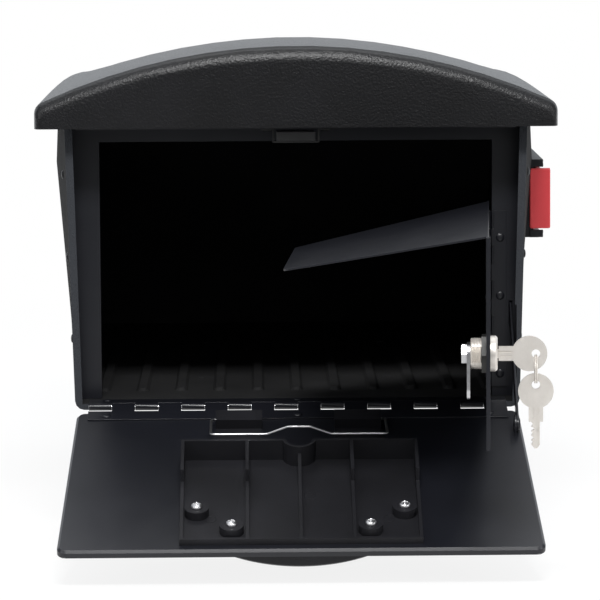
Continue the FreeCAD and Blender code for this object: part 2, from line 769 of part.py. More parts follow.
def door_hinge_pin():
    half = DOOR_KNUCKLES * DOOR_KNUCKLE_PITCH / 2
    return rod(HINGE - X * half, X, DOOR_PIN_R, 2 * half)


def door_leaf_rivet_places():
    return [door_point(x, DOOR_LEAF_RIVET, DOOR_KNUCKLE_R) for x in LEAF_RIVET_X]


def door_hinge_door_leaf():
    leaf = door_leaf(DOOR_START, DOOR_LEAF_WIDTH)
    leaf.rotate(ORIGIN, Z, 180)
    leaf.translate(HINGE)
    return leaf.cut([peg(p - Z * (LEAF + OVERCUT), Z, RIVET_R, LEAF + 2 * OVERCUT)
                     for p in door_leaf_rivet_places()])


def inner_leaf(toward):
    """Leaf of the inner door's hinge, running from the pin toward +x or -x."""
    leaf = hinge_leaf(INNER_KNUCKLES, INNER_KNUCKLE_PITCH, INNER_KNUCKLE_R, INNER_PIN_R,
                      INNER_HINGE_EDGE, INNER_LEAF_WIDTH)
    leaf.Placement = FreeCAD.Placement(INNER_AXIS, FreeCAD.Rotation(Z * toward, X * toward, Y, "ZXY"))
    return leaf


def inner_rivet_places(toward, y):
    x = INNER_AXIS_X + toward * (INNER_HINGE_EDGE + INNER_LEAF_WIDTH) / 2
    return [V(x, y, INNER_AXIS_Z + along) for along in INNER_RIVET_OFFSETS]


def frame_leaf_rivet_places():
    return inner_rivet_places(1, FRAME_Y - LEAF)


def inner_hinge_frame_leaf():
    return inner_leaf(1).cut([peg(p - Y * OVERCUT, Y, RIVET_R, LEAF + 2 * OVERCUT)
                              for p in frame_leaf_rivet_places()])


def inner_hinge_pin():
    half = INNER_KNUCKLES * INNER_KNUCKLE_PITCH / 2
    return rod(INNER_AXIS - Z * half, Z, INNER_PIN_R, 2 * half)


def inner_hinge_door_leaf():
    return inner_leaf(-1).cut([peg(p - Y * OVERCUT, Y, RIVET_R, SHEET + LEAF + 2 * OVERCUT)
                               for p in inner_rivet_places(-1, INNER_FRONT_Y)])


# Front door, modelled level with its inner face up, then dropped to its open angle

def door_point(x, s, h):
    """Place on the level door: across, out from the hinge, up from the hinge."""
    return V(x, HINGE_Y - s, HINGE_Z + h)


def dropped(shape):
    shape = shape.copy()
    shape.rotate(HINGE, X, DOOR_DROOP)
    return shape


def screw_places():
    """(x, s) of the screws through tray, door and handle, on an arc round the handle's centre."""
    turns = [radians(angle) for angle in SCREW_ANGLES]
    return [(SCREW_RING_R * cos(a), HANDLE_CENTRE_S + SCREW_RING_R * sin(a)) for a in turns]


def door_outline(inset, h):
    slope = (DOOR_HALF_END - DOOR_HALF_START) / (DOOR_LENGTH - DOOR_START)
    near = DOOR_START + inset
    far = DOOR_LENGTH - inset
    near_half = DOOR_HALF_START - inset + slope * inset
    far_half = DOOR_HALF_END - inset - slope * inset
    points = [door_point(-near_half, near, h), door_point(near_half, near, h)]
    points += [door_point(far_half, far, h), door_point(-far_half, far, h)]
    return rounded_wire(points, [DOOR_CORNER_R - inset] * 4)


def stay_ear():
    """Ear turned up from the door beside the stay, with a round top."""
    x0 = STAY_X - SEAT_GAP - SHEET
    width = STAY_HALF + SHEET
    tip = PANEL_H + STAY_PIVOT_H
    disc = rod(door_point(x0, STAY_PIVOT_S, tip), X, width, SHEET)
    foot = box(x0, x0 + SHEET, HINGE_Y - STAY_PIVOT_S - width, HINGE_Y - STAY_PIVOT_S + width,
               HINGE_Z + PANEL_UNDER_H, HINGE_Z + tip)
    under = box(x0 - OVERCUT, x0 + SHEET + OVERCUT, HINGE_Y - 2 * STAY_PIVOT_S, HINGE_Y,
                HINGE_Z + PANEL_UNDER_H - width, HINGE_Z + PANEL_UNDER_H)
    return joined([disc, foot]).cut(under)


def front_door():
    """Pan with a flat inner face and edges folded away from the box."""
    pan = Part.Face(door_outline(0, PANEL_H - DOOR_RETURN)).extrude(Z * DOOR_RETURN)
    rim = [e for e in pan.Edges if all(abs(v.Z - HINGE_Z - PANEL_H) < FLATNESS for v in e.Vertexes)]
    pan = pan.makeChamfer(DOOR_BEND, rim)
    hollow_h = PANEL_H - DOOR_RETURN - OVERCUT
    hollow = Part.Face(door_outline(SHEET, hollow_h)).extrude(Z * (PANEL_UNDER_H - hollow_h))
    inner_bend = DOOR_BEND - SHEET * (2 - sqrt(2))
    top = [e for e in hollow.Edges if all(abs(v.Z - HINGE_Z - PANEL_UNDER_H) < FLATNESS for v in e.Vertexes)]
    door = joined([pan.cut(hollow.makeChamfer(inner_bend, top)), stay_ear()])
    drill = SHEET + 2 * OVERCUT
    cutters = [peg(door_point(x, s, PANEL_UNDER_H - OVERCUT), Z, SCREW_R + SCREW_FIT, drill)
               for x, s in screw_places()]
    cutters += [peg(p - Z * (LEAF + SHEET + OVERCUT), Z, RIVET_R, drill) for p in door_leaf_rivet_places()]
    cutters.append(rod(stay_pivot() - X * HEM, X, STAY_RIVET_R, HEM))
    return door.cut(cutters)


def tray_wall(x, start):
    """Upright wall along the tray: tall at the shelf, stepped down, then falling to the lip."""
    base = PANEL_H
    tall = base + TRAY_SHELF
    outline = [(start, base), (TRAY_END, base), (TRAY_END, base + TRAY_LIP), (TRAY_STEP_AT, base + TRAY_LOW)]
    if start < TRAY_STEP_AT and start == TRAY_START:
        outline += [(TRAY_STEP_AT, tall), (start, tall)]
    else:
        outline += [(start, base + TRAY_LOW + TRAY_LIP)]
    return prism([door_point(x, s, h) for s, h in outline], X * TRAY_WALL)


def mail_tray():
    base = PANEL_H
    z0 = HINGE_Z + base
    y_start = HINGE_Y - TRAY_START
    y_end = HINGE_Y - TRAY_END
    shelf_y0 = y_start - TRAY_WALL
    pieces = [box(-TRAY_HALF, TRAY_HALF, y_end, y_start, z0, z0 + TRAY_BASE)]
    pieces.append(box(-TRAY_HALF, TRAY_HALF, shelf_y0, y_start, z0, z0 + TRAY_SHELF))
    pieces.append(box(-TRAY_HALF, TRAY_HALF, y_end, y_end + TRAY_WALL, z0, z0 + TRAY_LIP))
    for x in (-TRAY_HALF, -TRAY_RIB_X - TRAY_WALL / 2, TRAY_RIB_X - TRAY_WALL / 2, TRAY_HALF - TRAY_WALL):
        pieces.append(tray_wall(x, TRAY_START))
    pieces.append(tray_wall(-TRAY_WALL / 2, TRAY_START + SCOOP_R - TRAY_WALL / 2))
    scoop = rod(door_point(0, TRAY_START, base), Z, SCOOP_R, TRAY_SHELF)
    pieces.append(scoop.common(box(-SCOOP_R, SCOOP_R, y_start - SCOOP_R, y_start, z0, z0 + TRAY_SHELF)))
    for x, s in screw_places():
        pieces.append(rod(door_point(x, s, base), Z, TRAY_BOSS_R, TRAY_BOSS))
    for side in (-1, 1):
        x0, x1 = sorted((side * CLIP_BLOCK_X0, side * CLIP_BLOCK_X1))
        block_start = HINGE_Y - CLIP_BLOCK_START
        pieces.append(box(x0, x1, y_start, block_start, z0, z0 + TRAY_BASE))
        pieces.append(box(x0, x1, HINGE_Y - CLIP_BLOCK_END, block_start, z0, z0 + CLIP_BLOCK))
    cutters = [rod(door_point(0, TRAY_START, base + TRAY_BASE), Z, SCOOP_R - TRAY_WALL, TRAY_SHELF)]
    pivot = door_point(-CLIP_HALF, CLIP_PIVOT_S, base + CLIP_PIVOT_H)
    cutters.append(rod(pivot, X, WIRE_R + WIRE_FIT, CLIP_TAIL + WIRE_FIT))
    cutters.append(rod(pivot + X * 2 * CLIP_HALF, X * -1, WIRE_R + WIRE_FIT, CLIP_TAIL + WIRE_FIT))
    for x, s in screw_places():
        cutters.append(peg(door_point(x, s, base - OVERCUT), Z, SCREW_R + SCREW_FIT, TRAY_BOSS + 2 * OVERCUT))
    return joined(pieces).cut(cutters)


def tray_screws():
    top = PANEL_H + TRAY_BOSS
    return [pan_screw(door_point(x, s, top), Z * -1, SCREW_LENGTH, SCREW_R, SCREW_HEAD_R, SCREW_HEAD)
            for x, s in screw_places()]


def handle_ring(outer, inner, h0, h1):
    """Arched band round the handle's centre, between two heights."""
    start = door_point(0, HANDLE_CENTRE_S, h0)
    sweep = 180 - 2 * HANDLE_END_ANGLE
    first = 180 + HANDLE_END_ANGLE
    whole = Part.makeCylinder(outer, h1 - h0, start, Z, sweep)
    core = Part.makeCylinder(inner, h1 - h0, start, Z, 360)
    whole.rotate(start, Z, first)
    return whole.cut(core)


def door_handle():
    """Arched ledge with a finger groove on its inner side."""
    low = PANEL_H - HANDLE_REACH
    inner = HANDLE_INNER_R
    ledge = handle_ring(HANDLE_R, inner, low, PANEL_UNDER_H)
    rim = [e for e in ledge.Edges if all(abs(v.Z - HINGE_Z - low) < FLATNESS for v in e.Vertexes)]
    ledge = ledge.makeChamfer(HANDLE_EASE, rim)
    groove_top = PANEL_UNDER_H - HANDLE_GROOVE_TOP
    groove = rod(door_point(0, HANDLE_CENTRE_S, groove_top - HANDLE_GROOVE_HEIGHT), Z, inner + HANDLE_GROOVE,
                 HANDLE_GROOVE_HEIGHT)
    holes = [peg(door_point(x, s, PANEL_H + TRAY_BOSS - SCREW_LENGTH), Z, SCREW_R, SCREW_LENGTH)
             for x, s in screw_places()]
    sleeves = [rod(door_point(x, s, groove_top - HANDLE_GROOVE_HEIGHT), Z, 2 * SCREW_R, HANDLE_GROOVE_HEIGHT)
               for x, s in screw_places()]
    return joined([ledge.cut(groove)] + [s.common(ledge) for s in sleeves]).cut(holes)


def mail_clip():
    """Bent wire: tails in the tray's blocks, two legs and a bar with a finger hump."""
    pivot_h = PANEL_H + CLIP_PIVOT_H
    bar_h = PANEL_H + TRAY_SHELF + WIRE_R + CLIP_LIFT
    half = [
        (CLIP_HALF - CLIP_TAIL, CLIP_PIVOT_S, pivot_h),
        (CLIP_HALF, CLIP_PIVOT_S, pivot_h),
        (CLIP_HALF, CLIP_REACH, bar_h),
        (CLIP_HUMP_FOOT, CLIP_REACH, bar_h),
        (CLIP_HUMP_HALF, CLIP_REACH, bar_h + CLIP_HUMP),
    ]
    points = [door_point(-x, s, h) for x, s, h in half] + [door_point(*p) for p in reversed(half)]
    return wire(bent(points, WIRE_BEND_R, WIRE_BEND_STEPS), WIRE_R, WIRE_SIDES)


# Stay, already at the door's open angle

def stay_pivot():
    """Pivot's middle on the level door, at the stay's inner face."""
    return door_point(STAY_X, STAY_PIVOT_S, PANEL_H + STAY_PIVOT_H)


def open_stay_pivot():
    turn = FreeCAD.Rotation(X, DOOR_DROOP)
    return HINGE + turn.multVec(stay_pivot() - HINGE)


def door_stay():
    """Strip from the door's ear, up through the frame's slot, with a hooked end behind it."""
    pivot = open_stay_pivot()
    along = V(0, FRAME_BACK, STAY_SLOT_Z) - V(0, pivot.y, pivot.z)
    length = along.Length + STAY_PAST_FRAME
    along.normalize()
    across = V(0, -along.z, along.y) * STAY_HALF
    tip = pivot + along * length
    strip = prism([pivot - across, tip - across, tip + across, pivot + across], X * STAY)
    eye = rod(pivot, X, STAY_HALF, STAY)
    hook = prism([tip - across, tip - across - along * STAY, tip + across - along * STAY, tip + across],
                 X * -STAY_HOOK)
    bore = rod(pivot - X * OVERCUT, X, STAY_RIVET_R + PIN_FIT, STAY + 2 * OVERCUT)
    return joined([strip, eye, hook]).cut(bore)


def stay_rivet():
    """Shouldered rivet: head outside the stay, tail inside the ear."""
    base = stay_pivot() + X * (STAY + SEAT_GAP)
    grip = STAY + 2 * SEAT_GAP + SHEET
    return rivet(base, X * -1, grip, STAY_RIVET_R, STAY_RIVET_HEAD_R, STAY_RIVET_HEAD)


# Inner door, modelled shut, then swung open

def swung(shape):
    shape = shape.copy()
    shape.rotate(INNER_AXIS, Z, INNER_OPEN)
    return shape


def lock_place(t):
    """Place on the lock's axis, t toward the front from the door's face."""
    return LOCK - Y * t


def inner_door():
    """Panel with a folded free edge and the baffle sloping back from its top."""
    x_hinge = INNER_AXIS_X - INNER_HINGE_EDGE
    x_free = INNER_FREE_X
    panel = box(x_free, x_hinge, INNER_FRONT_Y, INNER_BACK_Y, INNER_BOTTOM, INNER_TOP)
    fold = box(x_free, x_free + INNER_FOLD, INNER_FRONT_Y - SHEET, INNER_FRONT_Y, INNER_BOTTOM, INNER_TOP)
    tip_y = INNER_BACK_Y + BAFFLE_DEPTH
    tip_z = INNER_TOP - BAFFLE_DEPTH * tan(radians(BAFFLE_SLOPE))
    root_near, root_far = BAFFLE_ROOT_INSETS
    tip_near, tip_far = BAFFLE_TIP_INSETS
    points = [
        V(INNER_AXIS_X - root_near, INNER_FRONT_Y, INNER_TOP),
        V(x_free + root_far, INNER_FRONT_Y, INNER_TOP),
        V(x_free + tip_far, tip_y, tip_z),
        V(INNER_AXIS_X - tip_near, tip_y, tip_z),
    ]
    baffle = prism(points, Z * -SHEET / cos(radians(BAFFLE_SLOPE)), [0, 0, DOOR_CORNER_R, DOOR_CORNER_R])
    hole = rod(lock_place(-OVERCUT - SHEET), Y * -1, LOCK_BARREL_R + LOCK_FIT, SHEET + 2 * OVERCUT)
    flat = LOCK_FLAT + LOCK_FIT
    hole = hole.common(box(LOCK.x - flat, LOCK.x + flat, FRONT, FRAME_BACK, 0, INNER_TOP))
    cutters = [hole]
    cutters += [peg(p - Y * OVERCUT, Y, RIVET_R, SHEET + 2 * OVERCUT)
                for p in inner_rivet_places(-1, INNER_FRONT_Y)]
    return joined([panel, fold, baffle]).cut(cutters)


def lock_housing():
    """Round head and a flatted barrel through the door."""
    rear = -SHEET - LOCK_BARREL
    bore = PLUG_R + PLUG_FIT
    edge = LOCK_HEAD_R - LOCK_HEAD_EASE
    outline = [(bore, rear), (LOCK_BARREL_R, rear), (LOCK_BARREL_R, 0), (LOCK_HEAD_R, 0)]
    outline += [(LOCK_HEAD_R, LOCK_HEAD - LOCK_HEAD_EASE), (edge, LOCK_HEAD), (bore, LOCK_HEAD)]
    housing = lathe(LOCK, Y * -1, outline)
    y_rear = INNER_FRONT_Y - rear + OVERCUT
    flats = [box(LOCK.x + LOCK_FLAT, LOCK.x + LOCK_HEAD_R, INNER_FRONT_Y, y_rear, 0, INNER_TOP),
             box(LOCK.x - LOCK_HEAD_R, LOCK.x - LOCK_FLAT, INNER_FRONT_Y, y_rear, 0, INNER_TOP)]
    return housing.cut(flats)


def hexagon(centre, radius, depth, hole):
    points = [centre + V(radius * cos(radians(a)), 0, radius * sin(radians(a))) for a in range(0, 360, 60)]
    return prism(points, Y * depth).cut(rod(centre - Y * OVERCUT, Y, hole, depth + 2 * OVERCUT))


def lock_nut():
    return hexagon(lock_place(-SHEET), LOCK_NUT_R, LOCK_NUT, LOCK_BARREL_R)


def lock_plug():
    """Turning core with a keyway, and a neck for the cam."""
    rear = -SHEET - LOCK_BARREL
    neck_end = rear - SEAT_GAP - CAM - CAM_NUT
    face = LOCK_HEAD - PLUG_SINK
    outline = [(0, neck_end), (PLUG_NECK_R, neck_end), (PLUG_NECK_R, rear), (PLUG_R, rear), (PLUG_R, face)]
    outline += [(0, face)]
    core = lathe(LOCK, Y * -1, outline)
    half = KEY / 2 + KEY_FIT
    y_tip = key_place().y + KEY_LENGTH - KEY_BOW_R
    return core.cut(box(LOCK.x - half, LOCK.x + half, INNER_FRONT_Y - LOCK_HEAD, y_tip + KEYWAY_PLAY,
                        LOCK.z - KEY_TOOTH_SIDE - KEY_FIT, LOCK.z + KEY_BACK_SIDE + KEY_FIT))


def lock_cam():
    """Flat arm, round at its hub and tip, that turns behind the frame's lip."""
    hub = V(LOCK.x, CAM_Y, LOCK.z)
    reach = CAM_LENGTH - CAM_HALF
    arm = box(LOCK.x - CAM_HALF, LOCK.x + CAM_HALF, CAM_Y, CAM_Y + CAM, LOCK.z - reach, LOCK.z)
    ends = [rod(hub, Y, CAM_HALF, CAM), rod(hub - Z * reach, Y, CAM_HALF, CAM)]
    return joined([arm] + ends).cut(rod(hub - Y * OVERCUT, Y, PLUG_NECK_R, CAM + 2 * OVERCUT))


def cam_nut():
    return hexagon(V(LOCK.x, CAM_Y + CAM, LOCK.z), CAM_NUT_R, CAM_NUT, PLUG_NECK_R)


# Keys

def key_blank():
    """Key lying in the xz plane: bow round the origin, blade down, teeth toward -x."""
    y = -KEY / 2
    tip = KEY_BOW_R - KEY_LENGTH
    bow = rod(V(0, y, 0), Y, KEY_BOW_R, KEY)
    shoulder = box(-KEY_SHOULDER_HALF, KEY_SHOULDER_HALF, y, y + KEY, -KEY_SHOULDER, 0)
    outline = [(KEY_BACK_SIDE, OVERCUT - KEY_SHOULDER), (-KEY_TOOTH_SIDE, OVERCUT - KEY_SHOULDER)]
    first = tip + KEY_TIP + len(KEY_TOOTH_DEPTHS) * KEY_TOOTH_PITCH
    for i, depth in enumerate(KEY_TOOTH_DEPTHS):
        z = first - i * KEY_TOOTH_PITCH
        outline += [(-KEY_TOOTH_SIDE, z), (depth - KEY_TOOTH_SIDE, z - KEY_TOOTH_PITCH / 2)]
    outline += [(-KEY_TOOTH_SIDE, tip + KEY_TIP), (-KEY_TIP_HALF, tip), (KEY_TIP_HALF, tip)]
    outline += [(KEY_BACK_SIDE, tip + KEY_TIP)]
    blade = prism([V(x, y, z) for x, z in outline], Y * KEY)
    hole = rod(V(0, y - OVERCUT, KEY_HOLE_OFFSET), Y, KEY_HOLE_R, KEY + 2 * OVERCUT)
    return joined([bow, shoulder, blade]).cut(hole)


def key_rim_drop():
    """From the lock's axis down to the middle of the bow's rim below the hole."""
    edge = sqrt(KEY_BOW_R ** 2 - KEY_HOLE_OFFSET ** 2)
    return (KEY_HOLE_R + edge) / 2


def key_place():
    """Middle of the bow of the key in the lock."""
    return lock_place(LOCK_HEAD + KEY_OUT - KEY_BOW_R)


def key():
    blank = key_blank()
    turn = FreeCAD.Rotation(Z, Y * -1).multiply(FreeCAD.Rotation(Z, 90))
    blank.Placement = FreeCAD.Placement(key_place(), turn)
    return blank


def ring_centre():
    drop = key_rim_drop() + RING_HANG
    return key_place() - Y * KEY_HOLE_OFFSET - Z * drop


def key_ring():
    inner = RING_R - RING_WIRE / 2
    outer = RING_R + RING_WIRE / 2
    wide = RING_WIDTH / 2
    return lathe(ring_centre(), Y * -1, [(inner, -wide), (outer, -wide), (outer, wide), (inner, wide)])


def spare_key():
    wire = ring_centre() - Z * RING_R
    hole_top = wire + Z * (RING_WIRE / 2 + RING_PLAY)
    blank = key_blank()
    turn = FreeCAD.Rotation(Z, -90)
    blank.Placement = FreeCAD.Placement(hole_top - Z * (KEY_HOLE_R + KEY_HOLE_OFFSET), turn)
    return blank


# Flag

def flag_bracket(shell):
    """Channel with a web on the wall and two flanges, cut to the wall's slope."""
    x0 = BODY_HALF - 3 * WALL
    web = box(x0, BRACKET_WEB_HALF, BRACKET_Y0, BRACKET_Y1, BRACKET_BOTTOM, BRACKET_TOP)
    low = box(x0, BRACKET_HALF, BRACKET_Y0, BRACKET_Y1, BRACKET_BOTTOM, BRACKET_BOTTOM + BRACKET_FLANGE)
    high = box(x0, BRACKET_HALF, BRACKET_Y0, BRACKET_Y1, BRACKET_TOP - BRACKET_FLANGE, BRACKET_TOP)
    pin = rod(V(FLAG_PIN_HALF, FLAG_PIN_Y, BRACKET_BOTTOM - OVERCUT), Z, FLAG_PIN_R,
              BRACKET_TOP - BRACKET_BOTTOM + 2 * OVERCUT)
    holes = [peg(p - X * 4 * WALL, X, BRACKET_SCREW_R, 5 * WALL) for p in bracket_screw_places()]
    outer = box(x0 - OVERCUT, BODY_HALF, BRACKET_Y0 - OVERCUT, BRACKET_Y1 + OVERCUT, 0, BRACKET_TOP)
    wall = shell.common(outer)
    pieces = joined([web, low, high]).cut(wall).cut([pin] + holes)
    return max(pieces.Solids, key=lambda solid: solid.Volume)


def flag_pin():
    span = BRACKET_TOP - BRACKET_BOTTOM
    outline = [(0, -FLAG_PIN_HEAD), (FLAG_PIN_HEAD_R, -FLAG_PIN_HEAD), (FLAG_PIN_HEAD_R, 0), (FLAG_PIN_R, 0)]
    outline += [(FLAG_PIN_R, span + FLAG_PIN_HEAD), (0, span + FLAG_PIN_HEAD)]
    return lathe(V(FLAG_PIN_HALF, FLAG_PIN_Y, BRACKET_TOP), Z * -1, outline)


def bracket_screws():
    return [pan_screw(p, X * -1, BRACKET_SCREW_LENGTH, BRACKET_SCREW_R, BRACKET_SCREW_HEAD_R,
                      BRACKET_SCREW_HEAD)
            for p in bracket_screw_places()]


def flag():
    """Blade along the channel with a finger lip at the front and a barrel on the pin."""
    x0 = FLAG_PIN_HALF - FLAG / 2
    y0 = BRACKET_Y0 + FLAG_SETBACK
    z1 = FLAG_Z0 + FLAG_HEIGHT
    outline = [(x0, FLAG_PIN_Y), (x0, y0), (FLAG_LIP_HALF, y0), (FLAG_LIP_HALF, y0 + FLAG)]
    outline += [(x0 + FLAG, y0 + FLAG), (x0 + FLAG, FLAG_PIN_Y)]
    radii = [0, FLAG, FLAG_EDGE_R, FLAG_EDGE_R, FLAG_BEND_R, 0]
    blade = prism([V(x, y, FLAG_Z0) for x, y in outline], Z * FLAG_HEIGHT, radii)
    barrel = rod(V(FLAG_PIN_HALF, FLAG_PIN_Y, FLAG_Z0), Z, FLAG_BARREL_R, FLAG_HEIGHT)
    bore = rod(V(FLAG_PIN_HALF, FLAG_PIN_Y, 0), Z, FLAG_PIN_R + FLAG_FIT, z1 + OVERCUT)
    return joined([blade, barrel]).cut(bore)


def group(solids):
    return Part.Compound(solids)


def build():
    """Every sub-part by its node's name, in place."""
    shell = body_shell()
    frame = front_frame()
    inner_rivets = [rivet(p, Y, SHEET + LEAF) for p in inner_rivet_places(-1, INNER_FRONT_Y)]
    door_rivets = [rivet(p, Z * -1, LEAF + SHEET) for p in door_leaf_rivet_places()]
    floor_grip = LEAF + FLOOR - RIVET_TAIL_SINK
    box_parts = {
        "body_shell": shell,
        "roof": roof(),
        "roof_screws": group(roof_screws()),
        "front_frame": frame,
        "frame_rivets": group(frame_rivets(shell, frame)),
        "catch_strap": catch_strap(),
        "catch_magnet": catch_magnet(),
        "catch_rivets": group([rivet(p, Z, 2 * SHEET) for p in catch_rivet_places()]),
        "door_hinge_body_leaf": door_hinge_body_leaf(),
        "door_hinge_pin": door_hinge_pin(),
        "body_leaf_rivets": group([rivet(p, Z * -1, floor_grip) for p in body_leaf_rivet_places()]),
        "inner_hinge_frame_leaf": inner_hinge_frame_leaf(),
        "inner_hinge_pin": inner_hinge_pin(),
        "frame_leaf_rivets": group([rivet(p, Y, LEAF + SHEET) for p in frame_leaf_rivet_places()]),
        "flag_bracket": flag_bracket(shell),
        "flag_pin": flag_pin(),
        "bracket_screws": group(bracket_screws()),
        "door_stay": door_stay(),
        "flag": flag(),
    }
    door_parts = {
        "front_door": front_door(),
        "door_hinge_door_leaf": door_hinge_door_leaf(),
        "door_leaf_rivets": group(door_rivets),
        "mail_tray": mail_tray(),
        "tray_screws": group(tray_screws()),
        "door_handle": door_handle(),
        "stay_rivet": stay_rivet(),
        "mail_clip": mail_clip(),
    }
    inner_parts = {
        "inner_door": inner_door(),
        "inner_hinge_door_leaf": inner_hinge_door_leaf(),
        "inner_leaf_rivets": group(inner_rivets),
        "lock_housing": lock_housing(),
        "lock_nut": lock_nut(),
        "lock_plug": lock_plug(),
        "lock_cam": lock_cam(),
        "cam_nut": cam_nut(),
        "key": key(),
        "key_ring": key_ring(),
        "spare_key": spare_key(),
    }
    nodes = dict(box_parts)
    nodes.update((name, dropped(shape)) for name, shape in door_parts.items())
    nodes.update((name, swung(shape)) for name, shape in inner_parts.items())
    return nodes


os.makedirs("parts", exist_ok=True)
for name, shape in build().items():
    shape.exportStep("parts/" + name + ".step")
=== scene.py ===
import json
from math import cos, pi, radians, sin

import bmesh
import bpy
import numpy as np
from mathutils import Matrix, Vector


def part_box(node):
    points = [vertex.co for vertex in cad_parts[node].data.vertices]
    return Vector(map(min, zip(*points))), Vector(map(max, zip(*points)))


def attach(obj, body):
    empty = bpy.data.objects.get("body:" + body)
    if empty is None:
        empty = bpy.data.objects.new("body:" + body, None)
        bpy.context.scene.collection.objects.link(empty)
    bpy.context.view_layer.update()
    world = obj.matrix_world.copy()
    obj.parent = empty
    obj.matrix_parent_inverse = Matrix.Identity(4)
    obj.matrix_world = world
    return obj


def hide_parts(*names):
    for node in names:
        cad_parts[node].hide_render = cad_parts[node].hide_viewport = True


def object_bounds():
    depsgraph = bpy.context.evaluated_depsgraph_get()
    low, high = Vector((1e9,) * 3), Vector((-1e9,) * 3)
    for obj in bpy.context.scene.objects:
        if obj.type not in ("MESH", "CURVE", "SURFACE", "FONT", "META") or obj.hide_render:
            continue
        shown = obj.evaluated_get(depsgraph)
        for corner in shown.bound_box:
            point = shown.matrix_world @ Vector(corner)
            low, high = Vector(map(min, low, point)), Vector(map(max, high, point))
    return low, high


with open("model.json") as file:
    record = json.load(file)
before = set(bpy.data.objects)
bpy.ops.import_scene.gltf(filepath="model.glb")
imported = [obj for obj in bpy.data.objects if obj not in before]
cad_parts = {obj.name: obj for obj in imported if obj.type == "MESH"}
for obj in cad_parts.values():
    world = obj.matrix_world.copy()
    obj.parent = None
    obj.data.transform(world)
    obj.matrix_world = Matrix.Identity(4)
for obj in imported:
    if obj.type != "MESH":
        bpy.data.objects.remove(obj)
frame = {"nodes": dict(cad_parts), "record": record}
cad_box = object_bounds()
nodes = frame["nodes"]
record = frame["record"]
slot_of = {part["node"]: part["material_slot"] for part in record["subparts"]}
body_of = {node: body for body, members in record["behaviour"]["bodies"].items() for node in members}
joints = {joint["name"]: joint for joint in record["behaviour"]["joints"]}

# Studio: camera, floor, lights

CAMERA_AT = (-0.0281, -2.734, 0.3532)
CAMERA_YAW = 0.69
CAMERA_PITCH = 6.387
CAMERA_ROLL = -0.35
CAMERA_LENS = 225.0
CAMERA_SENSOR = 36.0
CAMERA_FAR = 50.0
FLOOR_DROP = 0.012
FLOOR_HALF = 6.0
FLOOR_FRONT = -1.0
FLOOR_NEAR = 0.45
FLOOR_FAR = 1.3
FLOOR_NEAR_WHITE = 0.86
FLOOR_PALE = (0.86, 0.86, 0.86, 1)
ROOM_COLOUR = (0.91, 0.95, 1.0, 1)
HORIZON = 0.12
SKY = 0.7
SKY_FROM = 0.25
SKY_FULL = 0.75
BEHIND_FROM = 0.2
BEHIND_FULL = 0.75

# Each lamp's name, place, aim, size and watts
LAMPS = (
    ("top", (0.0, 0.25, 1.7), (0.0, 0.0, 0.1), (1.6, 1.2), 10.0),
    ("key", (0.0, -2.0, 1.9), (0.0, -0.2, 0.1), (0.8, 0.4), 66.0),
    ("left", (-1.6, -1.4, 1.0), (0.0, 0.0, 0.1), (0.9, 1.2), 8.0),
    ("right", (1.7, -1.3, 0.9), (0.0, 0.0, 0.1), (0.9, 1.2), 11.0),
    ("front", (0.4, -2.6, 0.8), (0.0, 0.0, 0.05), (0.8, 0.6), 2.0),
)

scene = bpy.context.scene
scene.view_settings.view_transform = "Standard"


def place_camera():
    data = bpy.data.cameras.new("camera")
    data.lens = CAMERA_LENS
    data.sensor_width = CAMERA_SENSOR
    data.clip_end = CAMERA_FAR
    cam = bpy.data.objects.new("camera", data)
    turn = Matrix.Rotation(radians(-CAMERA_YAW), 4, "Z")
    tilt = Matrix.Rotation(radians(90.0 - CAMERA_PITCH), 4, "X")
    roll = Matrix.Rotation(radians(CAMERA_ROLL), 4, "Z")
    cam.matrix_world = Matrix.Translation(CAMERA_AT) @ turn @ tilt @ roll
    scene.collection.objects.link(cam)
    scene.camera = cam


class Graph:
    """A small wrapper for wiring shader nodes."""

    def __init__(self, tree):
        self.tree = tree
        tree.nodes.clear()

    def add(self, kind, **settings):
        node = self.tree.nodes.new(kind)
        for key, value in settings.items():
            setattr(node, key, value)
        return node

    def link(self, a, b):
        self.tree.links.new(a, b)

    def seen(self):
        """1 for rays that show the background: from the camera, a mirror or through glass."""
        path = self.add("ShaderNodeLightPath")
        pair = self.larger(path.outputs["Is Camera Ray"], path.outputs["Is Glossy Ray"])
        return self.larger(pair, path.outputs["Is Transmission Ray"])

    def larger(self, a, b):
        node = self.add("ShaderNodeMath", operation="MAXIMUM")
        self.link(a, node.inputs[0])
        self.link(b, node.inputs[1])
        return node.outputs[0]


def white_world():
    """White to the camera; to other rays white behind the object, pale overhead, dim on the lens side."""
    world = bpy.data.worlds.new("studio")
    scene.world = world
    world.use_nodes = True
    g = Graph(world.node_tree)
    way = g.add("ShaderNodeSeparateXYZ")
    g.link(g.add("ShaderNodeTexCoord").outputs["Generated"], way.inputs[0])
    above = remap(g, way.outputs["Z"], HORIZON, SKY, SKY_FROM, SKY_FULL)
    behind = remap(g, way.outputs["Y"], HORIZON, 1.0, BEHIND_FROM, BEHIND_FULL)
    room = g.add("ShaderNodeBackground")
    room.inputs["Color"].default_value = ROOM_COLOUR
    g.link(g.larger(above, behind), room.inputs["Strength"])
    white = g.add("ShaderNodeBackground")
    white.inputs["Color"].default_value = (1, 1, 1, 1)
    white.inputs["Strength"].default_value = 1.0
    mix = g.add("ShaderNodeMixShader")
    g.link(g.add("ShaderNodeLightPath").outputs["Is Camera Ray"], mix.inputs[0])
    g.link(room.outputs[0], mix.inputs[1])
    g.link(white.outputs[0], mix.inputs[2])
    out = g.add("ShaderNodeOutputWorld")
    g.link(mix.outputs[0], out.inputs[0])


